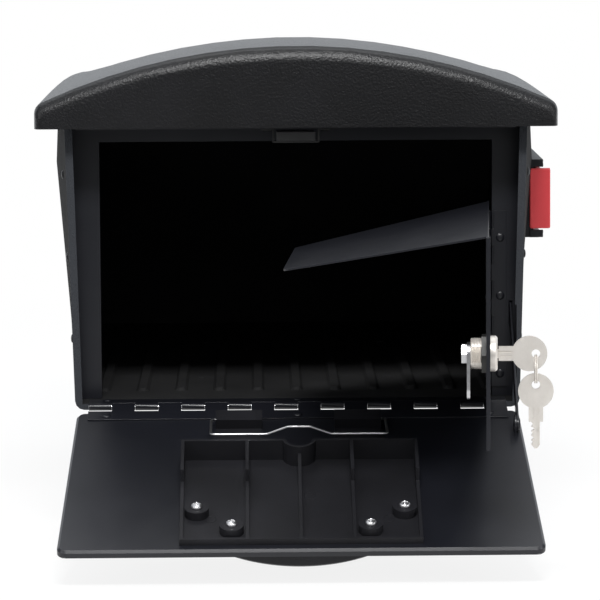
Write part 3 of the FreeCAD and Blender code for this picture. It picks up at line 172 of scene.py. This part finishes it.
def floor():
    """Pale floor with the shadow near the object, plain white away from it, ending short of the lens."""
    z = cad_box[0][2] - FLOOR_DROP
    mesh = bpy.data.meshes.new("floor")
    h = FLOOR_HALF
    mesh.from_pydata([(-h, FLOOR_FRONT, z), (h, FLOOR_FRONT, z), (h, h, z), (-h, h, z)], [], [(0, 1, 2, 3)])
    obj = bpy.data.objects.new("floor", mesh)
    scene.collection.objects.link(obj)
    mat = bpy.data.materials.new("floor")
    mat.use_nodes = True
    g = Graph(mat.node_tree)
    where = g.add("ShaderNodeTexCoord").outputs["Object"]
    away = g.add("ShaderNodeVectorMath", operation="LENGTH")
    g.link(where, away.inputs[0])
    share = remap(g, away.outputs["Value"], FLOOR_NEAR_WHITE, 1.0, FLOOR_NEAR, FLOOR_FAR)
    shown = g.add("ShaderNodeMath", operation="MULTIPLY")
    g.link(g.seen(), shown.inputs[0])
    g.link(share, shown.inputs[1])
    pale = g.add("ShaderNodeBsdfDiffuse")
    pale.inputs["Color"].default_value = FLOOR_PALE
    white = g.add("ShaderNodeEmission")
    white.inputs["Strength"].default_value = 1.0
    mix = g.add("ShaderNodeMixShader")
    g.link(shown.outputs[0], mix.inputs[0])
    g.link(pale.outputs[0], mix.inputs[1])
    g.link(white.outputs[0], mix.inputs[2])
    out = g.add("ShaderNodeOutputMaterial")
    g.link(mix.outputs[0], out.inputs[0])
    mesh.materials.append(mat)


def softbox(name, at, aim, size, watts):
    data = bpy.data.lights.new(name, "AREA")
    data.shape = "RECTANGLE"
    data.size, data.size_y = size
    data.energy = watts
    obj = bpy.data.objects.new(name, data)
    way = Vector(aim) - Vector(at)
    obj.matrix_world = Matrix.Translation(at) @ way.to_track_quat("-Z", "Y").to_matrix().to_4x4()
    scene.collection.objects.link(obj)


# Materials

SHEEN_ROUGH = 0.4
GRAIN_CLOUD = 22.0
GRAIN_CELL = 0.55
GRAIN_BUMP = 0.6
GRAIN_SPREAD = (-0.08, 0.10)
GRAIN_STOPS = (0.35, 0.7)
MOULD_GLOSS = 0.06
MOULD_GRAIN = 800.0
MOULD_BUMP = 0.6
MOULD_DEPTH = 0.0006
MOULD_SPREAD = (-0.08, 0.08)
COAT_CLOUD = 14.0
COAT_WAVE = 260.0
COAT_SCUFF = 60.0
COAT_STRETCH = (1.0, 0.35, 1.6)
COAT_BUMP = 0.2
COAT_SPREAD = (-0.02, 0.04)
COAT_STOPS = (0.3, 0.75)
METAL_GLOSS = 0.5
METAL_STAIN = 120.0
METAL_LINE = 900.0
METAL_BUMP = 0.15
METAL_DEPTH = 0.00012
METAL_SPREAD = (-0.08, 0.14)
METAL_STOPS = (0.3, 0.7)


def noise(g, scale, detail=3.0, rough=0.55, where=None):
    node = g.add("ShaderNodeTexNoise")
    node.inputs["Scale"].default_value = scale
    node.inputs["Detail"].default_value = detail
    node.inputs["Roughness"].default_value = rough
    if where is not None:
        g.link(where, node.inputs["Vector"])
    return node.outputs["Fac"]


def remap(g, value, low, high, start=0.0, end=1.0):
    node = g.add("ShaderNodeMapRange")
    node.inputs["From Min"].default_value = start
    node.inputs["From Max"].default_value = end
    node.inputs["To Min"].default_value = low
    node.inputs["To Max"].default_value = high
    g.link(value, node.inputs["Value"])
    return node.outputs["Result"]


def ramp(g, value, stops, dark, light):
    node = g.add("ShaderNodeValToRGB")
    for stop, at, colour in zip(node.color_ramp.elements, stops, (dark, light)):
        stop.position = at
        stop.color = (*colour, 1)
    g.link(value, node.inputs["Fac"])
    return node.outputs["Color"]


def bump(g, height, strength, distance, normal=None):
    node = g.add("ShaderNodeBump")
    node.inputs["Strength"].default_value = strength
    node.inputs["Distance"].default_value = distance
    g.link(height, node.inputs["Height"])
    if normal is not None:
        g.link(normal, node.inputs["Normal"])
    return node.outputs["Normal"]


def stretched(g, where, scale):
    node = g.add("ShaderNodeMapping")
    node.inputs["Scale"].default_value = scale
    g.link(where, node.inputs["Vector"])
    return node.outputs["Vector"]


def start(name, gloss):
    mat = bpy.data.materials.new(name)
    mat.use_nodes = True
    g = Graph(mat.node_tree)
    shader = g.add("ShaderNodeBsdfPrincipled")
    shader.inputs["Specular IOR Level"].default_value = gloss
    out = g.add("ShaderNodeOutputMaterial")
    g.link(shader.outputs["BSDF"], out.inputs["Surface"])
    where = g.add("ShaderNodeTexCoord").outputs["Object"]
    return mat, g, shader, where


def grained(name, dark, light, gloss, rough, grain, depth, sheen=0.0):
    """Moulded plastic with a pebbled skin."""
    mat, g, shader, where = start(name, gloss)
    shader.inputs["Sheen Weight"].default_value = sheen
    shader.inputs["Sheen Roughness"].default_value = SHEEN_ROUGH
    cloud = noise(g, GRAIN_CLOUD, where=where)
    g.link(ramp(g, cloud, GRAIN_STOPS, dark, light), shader.inputs["Base Color"])
    fine = noise(g, grain, detail=2.0, rough=0.6, where=where)
    cell = g.add("ShaderNodeTexVoronoi", feature="SMOOTH_F1")
    cell.inputs["Scale"].default_value = grain * GRAIN_CELL
    g.link(where, cell.inputs["Vector"])
    low = bump(g, cell.outputs["Distance"], GRAIN_BUMP, depth)
    g.link(bump(g, fine, GRAIN_BUMP, depth, low), shader.inputs["Normal"])
    g.link(remap(g, fine, rough + GRAIN_SPREAD[0], rough + GRAIN_SPREAD[1]), shader.inputs["Roughness"])
    return mat


def moulded(name, dark, light, rim, rough):
    """Matte moulded tub whose front rim carries a painted highlight: its base colour turns paler there."""
    mat, g, shader, where = start(name, MOULD_GLOSS)
    cloud = noise(g, COAT_CLOUD, detail=4.0, rough=0.6, where=where)
    way = g.add("ShaderNodeSeparateXYZ")
    g.link(where, way.inputs[0])
    # Painted highlight: the base colour blends to the paler rim colour along the tub's front rim
    hem_highlight = remap(g, way.outputs["Y"], 1.0, 0.0, BODY_HEM_HIGHLIGHT_FRONT, BODY_HEM_HIGHLIGHT_BACK)
    mix = g.add("ShaderNodeMix", data_type="RGBA")
    g.link(hem_highlight, mix.inputs["Factor"])
    g.link(ramp(g, cloud, COAT_STOPS, dark, light), mix.inputs["A"])
    mix.inputs["B"].default_value = (*rim, 1)
    g.link(mix.outputs["Result"], shader.inputs["Base Color"])
    fine = noise(g, MOULD_GRAIN, detail=2.0, rough=0.5, where=where)
    g.link(remap(g, fine, rough + MOULD_SPREAD[0], rough + MOULD_SPREAD[1]), shader.inputs["Roughness"])
    g.link(bump(g, fine, MOULD_BUMP, MOULD_DEPTH), shader.inputs["Normal"])
    return mat


def coated(name, dark, light, gloss, rough, peel):
    """Smooth coat with soft orange peel and faint handling marks."""
    mat, g, shader, where = start(name, gloss)
    cloud = noise(g, COAT_CLOUD, detail=4.0, rough=0.6, where=where)
    g.link(ramp(g, cloud, COAT_STOPS, dark, light), shader.inputs["Base Color"])
    wave = noise(g, COAT_WAVE, detail=2.0, rough=0.5, where=where)
    scuff = noise(g, COAT_SCUFF, detail=5.0, rough=0.65, where=stretched(g, where, COAT_STRETCH))
    worn = remap(g, scuff, rough + COAT_SPREAD[0], rough + COAT_SPREAD[1], start=0.3, end=0.75)
    g.link(worn, shader.inputs["Roughness"])
    g.link(bump(g, wave, COAT_BUMP, peel), shader.inputs["Normal"])
    return mat


def metal(name, dark, light, rough, brush, metallic=1.0):
    """Plated or bare metal with fine drawn lines and a little tarnish."""
    mat, g, shader, where = start(name, METAL_GLOSS)
    shader.inputs["Metallic"].default_value = metallic
    stain = noise(g, METAL_STAIN, detail=4.0, rough=0.6, where=where)
    g.link(ramp(g, stain, METAL_STOPS, dark, light), shader.inputs["Base Color"])
    line = noise(g, METAL_LINE, detail=3.0, rough=0.6, where=stretched(g, where, brush))
    g.link(remap(g, line, rough + METAL_SPREAD[0], rough + METAL_SPREAD[1]), shader.inputs["Roughness"])
    g.link(bump(g, line, METAL_BUMP, METAL_DEPTH), shader.inputs["Normal"])
    return mat


place_camera()
white_world()
floor()
for lamp in LAMPS:
    softbox(*lamp)

# Depth and fade of the painted highlight along the body's front rim
BODY_HEM_HIGHLIGHT_DEPTH = 0.004
BODY_HEM_HIGHLIGHT_FADE = 0.001
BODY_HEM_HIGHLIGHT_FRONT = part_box("body_shell")[0][1] + BODY_HEM_HIGHLIGHT_DEPTH
BODY_HEM_HIGHLIGHT_BACK = BODY_HEM_HIGHLIGHT_FRONT + BODY_HEM_HIGHLIGHT_FADE
SLOTS = {
    "roof_black": grained("roof_black", (0.003, 0.003, 0.0035), (0.005, 0.005, 0.006),
                          gloss=0.3, rough=0.36, grain=1150.0, depth=0.0003, sheen=0.05),
    # The body's rim colour is a painted highlight along its front rim
    "body_black": moulded("body_black", (0.015, 0.015, 0.0155), (0.023, 0.023, 0.0235),
                          rim=(0.030, 0.032, 0.036), rough=0.75),
    "steel_black": coated("steel_black", (0.006, 0.0065, 0.009), (0.008, 0.0085, 0.012),
                          gloss=0.45, rough=0.34, peel=0.0001),
    "fitting_black": grained("fitting_black", (0.009, 0.009, 0.0105), (0.013, 0.013, 0.0155),
                             gloss=0.2, rough=0.42, grain=2600.0, depth=0.0001),
    "plain_steel": metal("plain_steel", (0.50, 0.50, 0.51), (0.66, 0.66, 0.67),
                         rough=0.30, brush=(1.0, 0.12, 1.0)),
    "nickel": metal("nickel", (0.70, 0.66, 0.61), (0.78, 0.74, 0.69),
                    rough=0.34, brush=(1.0, 0.3, 0.15), metallic=0.65),
    "magnet_dark": coated("magnet_dark", (0.03, 0.03, 0.03), (0.05, 0.05, 0.05),
                          gloss=0.3, rough=0.5, peel=0.0002),
    "flag_red": coated("flag_red", (0.60, 0.046, 0.054), (0.66, 0.058, 0.066),
                       gloss=0.4, rough=0.38, peel=0.0001),
}
dull_steel = metal("dull_steel", (0.05, 0.05, 0.05), (0.09, 0.09, 0.088), rough=0.55, brush=(1.0, 0.12, 1.0))
# Pale metal finish for a painted highlight along the front door's lower edge, standing in for the bend's
# highlight
edge_highlight = metal("painted_edge_highlight", (0.10, 0.10, 0.10), (0.45, 0.45, 0.45), rough=0.45, brush=(1.0, 1.0, 1.0))
FINISHES = {"catch_strap": dull_steel, "catch_rivets": dull_steel, "lock_nut": dull_steel}

# Soft edges on the solids

WELD = 1e-6
EDGE_SEGMENTS = 2
EDGE_ANGLE = 40.0
KNUCKLE_ANGLE = 50.0
EDGES = {
    "roof_black": 0.0007,
    "body_black": 0.0005,
    "steel_black": 0.00025,
    "fitting_black": 0.0004,
    "plain_steel": 0.0002,
    "nickel": 0.00025,
    "magnet_dark": 0.0003,
    "flag_red": 0.0004,
}


def soften(obj, width, angle):
    weld = obj.modifiers.new("weld", "WELD")
    weld.merge_threshold = WELD
    bevel = obj.modifiers.new("bevel", "BEVEL")
    bevel.width = width
    bevel.segments = EDGE_SEGMENTS
    bevel.limit_method = "ANGLE"
    bevel.angle_limit = radians(angle)
    bevel.harden_normals = False
    even = obj.modifiers.new("even", "WEIGHTED_NORMAL")
    even.keep_sharp = False


for name, obj in nodes.items():
    obj.data.materials.clear()
    obj.data.materials.append(FINISHES.get(name, SLOTS[slot_of[name]]))
    for face in obj.data.polygons:
        face.use_smooth = True
    soften(obj, EDGES[slot_of[name]], KNUCKLE_ANGLE if "leaf" in name else EDGE_ANGLE)

# Mesh helpers for added pieces

ROUND_SIDES = 32
RIM_NEAR = 0.97
CORE = 0.1


def new_piece(name, bm, body, slot, finish=None, smooth=True):
    """Turns a bmesh into a finished piece that rides on a body."""
    bmesh.ops.recalc_face_normals(bm, faces=bm.faces)
    mesh = bpy.data.meshes.new(name)
    bm.to_mesh(mesh)
    bm.free()
    for face in mesh.polygons:
        face.use_smooth = smooth
    mesh.materials.append(finish or SLOTS[slot])
    obj = bpy.data.objects.new(name, mesh)
    scene.collection.objects.link(obj)
    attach(obj, body)
    return obj


def islands(node):
    """The separate solids of a node, each as an array of its corner points."""
    bm = bmesh.new()
    bm.from_mesh(nodes[node].data)
    bmesh.ops.remove_doubles(bm, verts=bm.verts, dist=WELD)
    bm.verts.ensure_lookup_table()
    done = set()
    found = []
    for first in bm.verts:
        if first.index in done:
            continue
        done.add(first.index)
        stack = [first]
        points = []
        while stack:
            vert = stack.pop()
            points.append(vert.co[:])
            for edge in vert.link_edges:
                other = edge.other_vert(vert)
                if other.index not in done:
                    done.add(other.index)
                    stack.append(other)
        found.append(np.array(points))
    bm.free()
    return found


class Turned:
    """Middle, axis and main radii of a turned solid, its head towards the axis' end."""

    def __init__(self, points):
        self.centre = points.mean(axis=0)
        off = points - self.centre
        values, ways = np.linalg.eigh(np.cov(off.T))
        lone = 0 if values[1] - values[0] > values[2] - values[1] else 2
        axis = ways[:, lone]
        along = off @ axis
        radius = np.linalg.norm(off - np.outer(along, axis), axis=1)
        if along[radius > RIM_NEAR * radius.max()].mean() < 0:
            axis, along = -axis, -along
        self.axis = Vector(axis)
        self.along = along
        self.radius = radius
        self.head_r = radius.max()
        self.crown = along.max()
        self.base = along[radius > RIM_NEAR * radius.max()].min()
        self.tail = along.min()
        below = radius[(along < self.base + WELD) & (radius < RIM_NEAR * self.head_r)]
        self.shank_r = below[below > CORE * self.head_r].min()

    def frame(self):
        """Matrix whose Z is the axis and whose origin is the middle."""
        turn = self.axis.to_track_quat("Z", "X").to_matrix().to_4x4()
        return Matrix.Translation(Vector(self.centre)) @ turn


def lathe(bm, at, outline, sides=ROUND_SIDES, ends=True):
    """Rings of an (along, radius) outline about the Z of a matrix."""
    rings = []
    for along, radius in outline:
        turns = [2 * pi * k / sides for k in range(sides)]
        rings.append([bm.verts.new(at @ Vector((radius * cos(a), radius * sin(a), along))) for a in turns])
    for low, high in zip(rings, rings[1:]):
        for k in range(sides):
            m = (k + 1) % sides
            bm.faces.new((low[k], low[m], high[m], high[k]))
    if ends:
        bm.faces.new(rings[0][::-1])
        bm.faces.new(rings[-1])
    return rings


# Rivets and screws

DOME_STEPS = 8
RIM_SHARE = 0.16
RIVET_DIMPLE = 0.04
DIMPLE_RIM = 0.1
DIMPLE_FLOOR = 0.03
TAIL_SHARE = 0.9
UNDER_SHARE = 0.97
SCREW_SIDES = 64
SCREW_RINGS = 18
CROSS_REACH = 0.56
CROSS_HALF = 0.12
CROSS_BLUR = 0.06
CROSS_DEPTH = 0.62
PAN_EDGE = 0.38
RIVET_NODES = ("frame_rivets", "catch_rivets", "body_leaf_rivets", "door_leaf_rivets", "frame_leaf_rivets",
               "inner_leaf_rivets", "stay_rivet")
SCREW_NODES = ("tray_screws", "roof_screws", "bracket_screws")


def shank(part):
    """Outline from the tail's end up to the head's underside."""
    under = part.head_r * UNDER_SHARE
    return [(part.tail, part.shank_r * TAIL_SHARE), (part.base, part.shank_r), (part.base, under)]


def dome(part):
    """Outline of a rivet's round head, with a low rim and a small dimple on top."""
    height = part.crown - part.base
    rim = part.base + RIM_SHARE * height
    outline = [(rim, part.head_r)]
    for k in range(1, DOME_STEPS):
        a = 0.5 * pi * k / DOME_STEPS
        outline.append((rim + (part.crown - rim) * sin(a), part.head_r * cos(a)))
    floor_at = part.crown - RIVET_DIMPLE * height
    return outline + [(part.crown, part.head_r * DIMPLE_RIM), (floor_at, part.head_r * DIMPLE_FLOOR)]


def cross_depth(u, v):
    """Share of the full depth of a cross recess at a place on a head of radius 1."""
    def arm(a, b):
        reach = np.clip((CROSS_REACH - abs(a)) / CROSS_BLUR, 0, 1)
        width = np.clip((CROSS_HALF - abs(b)) / CROSS_BLUR + 0.5, 0, 1)
        return reach * width
    return max(arm(u, v), arm(v, u))


def pan_head(bm, part):
    """Rounded screw head with a cross recess sunk in its top."""
    at = part.frame()
    height = part.crown - part.base
    rings = lathe(bm, at, shank(part) + [(part.base + RIM_SHARE * height, part.head_r)], SCREW_SIDES, False)
    bm.faces.new(rings[0][::-1])
    last = rings[-1]
    for k in range(1, SCREW_RINGS + 1):
        share = 1 - k / (SCREW_RINGS + 1)
        swell = (1 - share ** 2) ** PAN_EDGE
        ring = []
        for j in range(SCREW_SIDES):
            a = 2 * pi * j / SCREW_SIDES
            u, v = share * cos(a), share * sin(a)
            top = part.base + height * (RIM_SHARE + (1 - RIM_SHARE) * swell)
            z = top - CROSS_DEPTH * height * cross_depth(u, v)
            ring.append(bm.verts.new(at @ Vector((part.head_r * u, part.head_r * v, z))))
        for j in range(SCREW_SIDES):
            m = (j + 1) % SCREW_SIDES
            bm.faces.new((last[j], last[m], ring[m], ring[j]))
        last = ring
    bm.faces.new(last)


def fasteners():
    for node in RIVET_NODES + SCREW_NODES:
        bm = bmesh.new()
        for points in islands(node):
            part = Turned(points)
            if node in SCREW_NODES:
                pan_head(bm, part)
            else:
                lathe(bm, part.frame(), shank(part) + dome(part))
        piece = new_piece(node + "_round", bm, body_of[node], slot_of[node], FINISHES.get(node))
        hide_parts(node)


# Split key ring: almost two turns of flat wire with a step between them

RING_STEPS = 120
RING_TURNS = 1.94
RING_STRAND = 0.00085
RING_STEP_TURN = 0.08
RING_EASE = 0.25


def split_ring():
    part = Turned(islands("key_ring")[0])
    at = part.frame()
    inner, outer = part.radius.min(), part.radius.max()
    half = part.along.max() - RING_STRAND / 2
    ease = RING_EASE * (outer - inner)
    top = RING_STRAND / 2
    section = [(inner, -top + ease), (inner + ease, -top), (outer - ease, -top), (outer, -top + ease),
               (outer, top - ease), (outer - ease, top), (inner + ease, top), (inner, top - ease)]
    bm = bmesh.new()
    last = None
    for k in range(RING_STEPS + 1):
        turns = RING_TURNS * k / RING_STEPS
        rise = np.clip((turns - RING_TURNS / 2) / RING_STEP_TURN + 0.5, 0, 1)
        lift = half * (2 * rise - 1)
        a = 2 * pi * turns
        ring = [bm.verts.new(at @ Vector((r * cos(a), r * sin(a), lift + h))) for r, h in section]
        if last is None:
            bm.faces.new(ring[::-1])
        else:
            for j in range(len(section)):
                m = (j + 1) % len(section)
                bm.faces.new((last[j], last[m], ring[m], ring[j]))
        last = ring
    bm.faces.new(last)
    piece = new_piece("key_ring_wire", bm, body_of["key_ring"], slot_of["key_ring"])
    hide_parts("key_ring")


# Thread on the lock's barrel between its nut and its cam

THREAD_PITCH = 0.0009
THREAD_PROUD = 0.00035


def lock_thread():
    joint = joints["lock_turn"]
    axis = Vector(joint["axis"])
    origin = Vector(joint["pos_m"])
    way = np.array(axis)
    barrel = np.array([v.co[:] for v in nodes["lock_housing"].data.vertices]) - np.array(origin)
    nut = np.array([v.co[:] for v in nodes["lock_nut"].data.vertices]) - np.array(origin)
    end = (barrel @ way).max()
    begin = (nut @ way).max()
    behind = barrel[(barrel @ way) > begin]
    radius = np.linalg.norm(behind - np.outer(behind @ way, way), axis=1).max()
    at = Matrix.Translation(origin) @ axis.to_track_quat("Z", "X").to_matrix().to_4x4()
    outline = []
    count = int((end - begin) / THREAD_PITCH)
    for k in range(count):
        low = begin + (end - begin) * k / count
        outline += [(low, radius - THREAD_PROUD), (low + THREAD_PITCH / 2, radius + THREAD_PROUD)]
    inside = radius - 2 * THREAD_PROUD
    outline += [(end, radius - THREAD_PROUD), (end, inside), (begin, inside)]
    bm = bmesh.new()
    lathe(bm, at, outline + outline[:1], ends=False)
    bmesh.ops.remove_doubles(bm, verts=bm.verts, dist=WELD)
    new_piece("lock_thread", bm, body_of["lock_housing"], slot_of["lock_housing"], smooth=False)


# Flag's front face and the rounded hems of its bracket

FACE_THICK = 0.0026
FACE_LEFT = 0.0144
FACE_CORNER = 0.0014
FACE_EASE = 0.0006
HEM_THICK = 0.002
HEM_TALL = 0.0052
HEM_WIDE = 0.0094
HEM_CORNER = 0.0032
HEM_EASE = 0.0004
CORNER_STEPS = 5


def rounded_plate(bm, x0, x1, z0, z1, y0, y1, radii, ease):
    """Upright plate facing the front; radii are for the lower left corner and on, counter-clockwise."""
    outline = []
    corners = ((x0, z0, 180.0), (x1, z0, 270.0), (x1, z1, 0.0), (x0, z1, 90.0))
    for (x, z, begin), r in zip(corners, radii):
        cx = x + (r if x == x0 else -r)
        cz = z + (r if z == z0 else -r)
        for k in range(CORNER_STEPS + 1):
            a = radians(begin + 90.0 * k / CORNER_STEPS)
            outline.append((cx + r * cos(a), cz + r * sin(a)))
    mx, mz = (x0 + x1) / 2, (z0 + z1) / 2
    fx, fz = 1 - 2 * ease / (x1 - x0), 1 - 2 * ease / (z1 - z0)
    rings = []
    for y, shrink in ((y0, True), (y0 + ease, False), (y1, False)):
        points = [(mx + (x - mx) * fx, mz + (z - mz) * fz) if shrink else (x, z) for x, z in outline]
        rings.append([bm.verts.new((x, y, z)) for x, z in points])
    for a, b in zip(rings, rings[1:]):
        for k in range(len(a)):
            m = (k + 1) % len(a)
            bm.faces.new((a[k], a[m], b[m], b[k]))
    bm.faces.new(rings[0])
    bm.faces.new(rings[-1][::-1])


def flag_front():
    low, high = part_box("flag")
    bm = bmesh.new()
    rounded_plate(bm, high[0] - FACE_LEFT, high[0], low[2], high[2], low[1] - FACE_THICK, low[1],
                  (FACE_CORNER,) * 4, FACE_EASE)
    new_piece("flag_face", bm, "flag", "flag_red", smooth=False)
    low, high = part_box("flag_bracket")
    inner = high[0] - HEM_WIDE
    front, back = low[1] - HEM_THICK / 2, low[1] + HEM_THICK / 2
    bm = bmesh.new()
    rounded_plate(bm, inner, high[0], high[2] - HEM_TALL, high[2], front, back,
                  (HEM_EASE, HEM_EASE, HEM_CORNER, HEM_EASE), HEM_EASE)
    rounded_plate(bm, inner, high[0], low[2], low[2] + HEM_TALL, front, back,
                  (HEM_EASE, HEM_CORNER, HEM_EASE, HEM_EASE), HEM_EASE)
    new_piece("bracket_hems", bm, "box", "fitting_black", smooth=False)


# Front door: a painted highlight along its lower edge, and the moulding marks on the tray's floor

DOOR_DROOP = 22.3
MARK_R = 0.0034
MARK_WIDTH = 0.0004
MARK_PROUD = 0.00012
MARKS = ((-0.0575, 0.149), (0.0565, 0.149), (0.006, 0.121))
TRAY_FLOOR_H = 0.0035
EDGE_R = 0.00035
EDGE_BAND = 0.0008
EDGE_SIDES = 10


def door_frame():
    """Matrix from (across, along the open door, height over the hinge's axis) to the world."""
    pos = Vector(joints["front_door_hinge"]["pos_m"])
    turn = Matrix.Rotation(radians(DOOR_DROOP), 4, "X")
    flip = Matrix(((1, 0, 0, 0), (0, -1, 0, 0), (0, 0, 1, 0), (0, 0, 0, 1)))
    return Matrix.Translation((0.0, pos.y, pos.z)) @ turn @ flip


def door_details():
    at = door_frame()
    bm = bmesh.new()
    for x, s in MARKS:
        spot = at @ Matrix.Translation((x, s, TRAY_FLOOR_H))
        outline = [(0.0, MARK_R + MARK_WIDTH), (MARK_PROUD, MARK_R + MARK_WIDTH / 2), (0.0, MARK_R)]
        lathe(bm, spot, outline + outline[:1], ends=False)
    bmesh.ops.remove_doubles(bm, verts=bm.verts, dist=WELD)
    new_piece("tray_marks", bm, "front_door", "fitting_black")
    back = at.inverted()
    points = np.array([(back @ v.co)[:] for v in nodes["front_door"].data.vertices])
    far = points[:, 1].max()
    rear = points[points[:, 1] > far - EDGE_BAND]
    low = rear[:, 2].min()
    half = rear[:, 0].max()
    # Thin rod along the door's lower edge in that pale finish: a painted highlight of the bend
    bm = bmesh.new()
    line = at @ Matrix.Translation((-half, far - EDGE_R, low + EDGE_R))
    lathe(bm, line @ Matrix.Rotation(radians(90.0), 4, "Y"), [(0.0, EDGE_R), (2 * half, EDGE_R)], EDGE_SIDES)
    new_piece("door_edge", bm, "front_door", "steel_black", edge_highlight)


# Milled grooves along both faces of the keys' blades

GROOVE_START = 0.0215
# Each groove's distance from the back edge, and where it ends, from the top of the bow
GROOVES = ((0.0013, 0.0485), (0.0040, 0.0285))
GROOVE_WIDTH = 0.0009
GROOVE_DEPTH = 0.0005
FOLD_ANGLE = 0.5


class Blade:
    """Directions and extents of a flat key, from its bow to its tip and from its straight back edge."""

    def __init__(self, bm):
        self.thin = max(bm.faces, key=lambda face: face.calc_area()).normal.copy()
        sharp = [edge for edge in bm.edges if edge.calc_face_angle(0.0) > FOLD_ANGLE]
        back = max(sharp, key=lambda edge: edge.calc_length())
        self.long = (back.verts[1].co - back.verts[0].co).normalized()
        points = [vert.co.copy() for vert in bm.verts]
        middle = sum(p @ self.long for p in points) / len(points)
        side = self.thin.cross(self.long)
        widest = max(points, key=lambda p: abs((p - back.verts[0].co) @ side))
        if widest @ self.long > middle:
            self.long = -self.long
        self.side = self.thin.cross(self.long)
        if (widest - back.verts[0].co) @ self.side < 0:
            self.side = -self.side
        self.bow = min(p @ self.long for p in points)
        self.back = back.verts[0].co @ self.side
        self.faces = [min(p @ self.thin for p in points), max(p @ self.thin for p in points)]

    def point(self, along, across, level):
        return self.long * along + self.side * across + self.thin * level


def groove_cutters(blade):
    bm = bmesh.new()
    half = GROOVE_WIDTH / 2
    for level in blade.faces:
        for centre, end in GROOVES:
            corners = []
            for along in (blade.bow + GROOVE_START, blade.bow + end):
                for across in (centre - half, centre + half):
                    for depth in (-GROOVE_DEPTH, GROOVE_DEPTH):
                        corners.append(bm.verts.new(blade.point(along, blade.back + across, level + depth)))
            bmesh.ops.convex_hull(bm, input=corners)
    bmesh.ops.recalc_face_normals(bm, faces=bm.faces)
    return bm


def temporary(name, bm):
    mesh = bpy.data.meshes.new(name)
    bm.to_mesh(mesh)
    bm.free()
    obj = bpy.data.objects.new(name, mesh)
    scene.collection.objects.link(obj)
    return obj


def milled_keys():
    for node in ("key", "spare_key"):
        bm = bmesh.new()
        bm.from_mesh(nodes[node].data)
        bmesh.ops.remove_doubles(bm, verts=bm.verts, dist=WELD)
        bm.normal_update()
        cutter = temporary("cutter", groove_cutters(Blade(bm)))
        blank = temporary("blank", bm)
        cut = blank.modifiers.new("cut", "BOOLEAN")
        cut.operation = "DIFFERENCE"
        cut.solver = "EXACT"
        cut.object = cutter
        graph = bpy.context.evaluated_depsgraph_get()
        bm = bmesh.new()
        bm.from_object(blank, graph)
        for spare in (blank, cutter):
            bpy.data.objects.remove(spare)
        piece = new_piece(node + "_milled", bm, body_of[node], slot_of[node], smooth=False)
        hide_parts(node)


fasteners()
milled_keys()
split_ring()
lock_thread()
flag_front()
door_details()
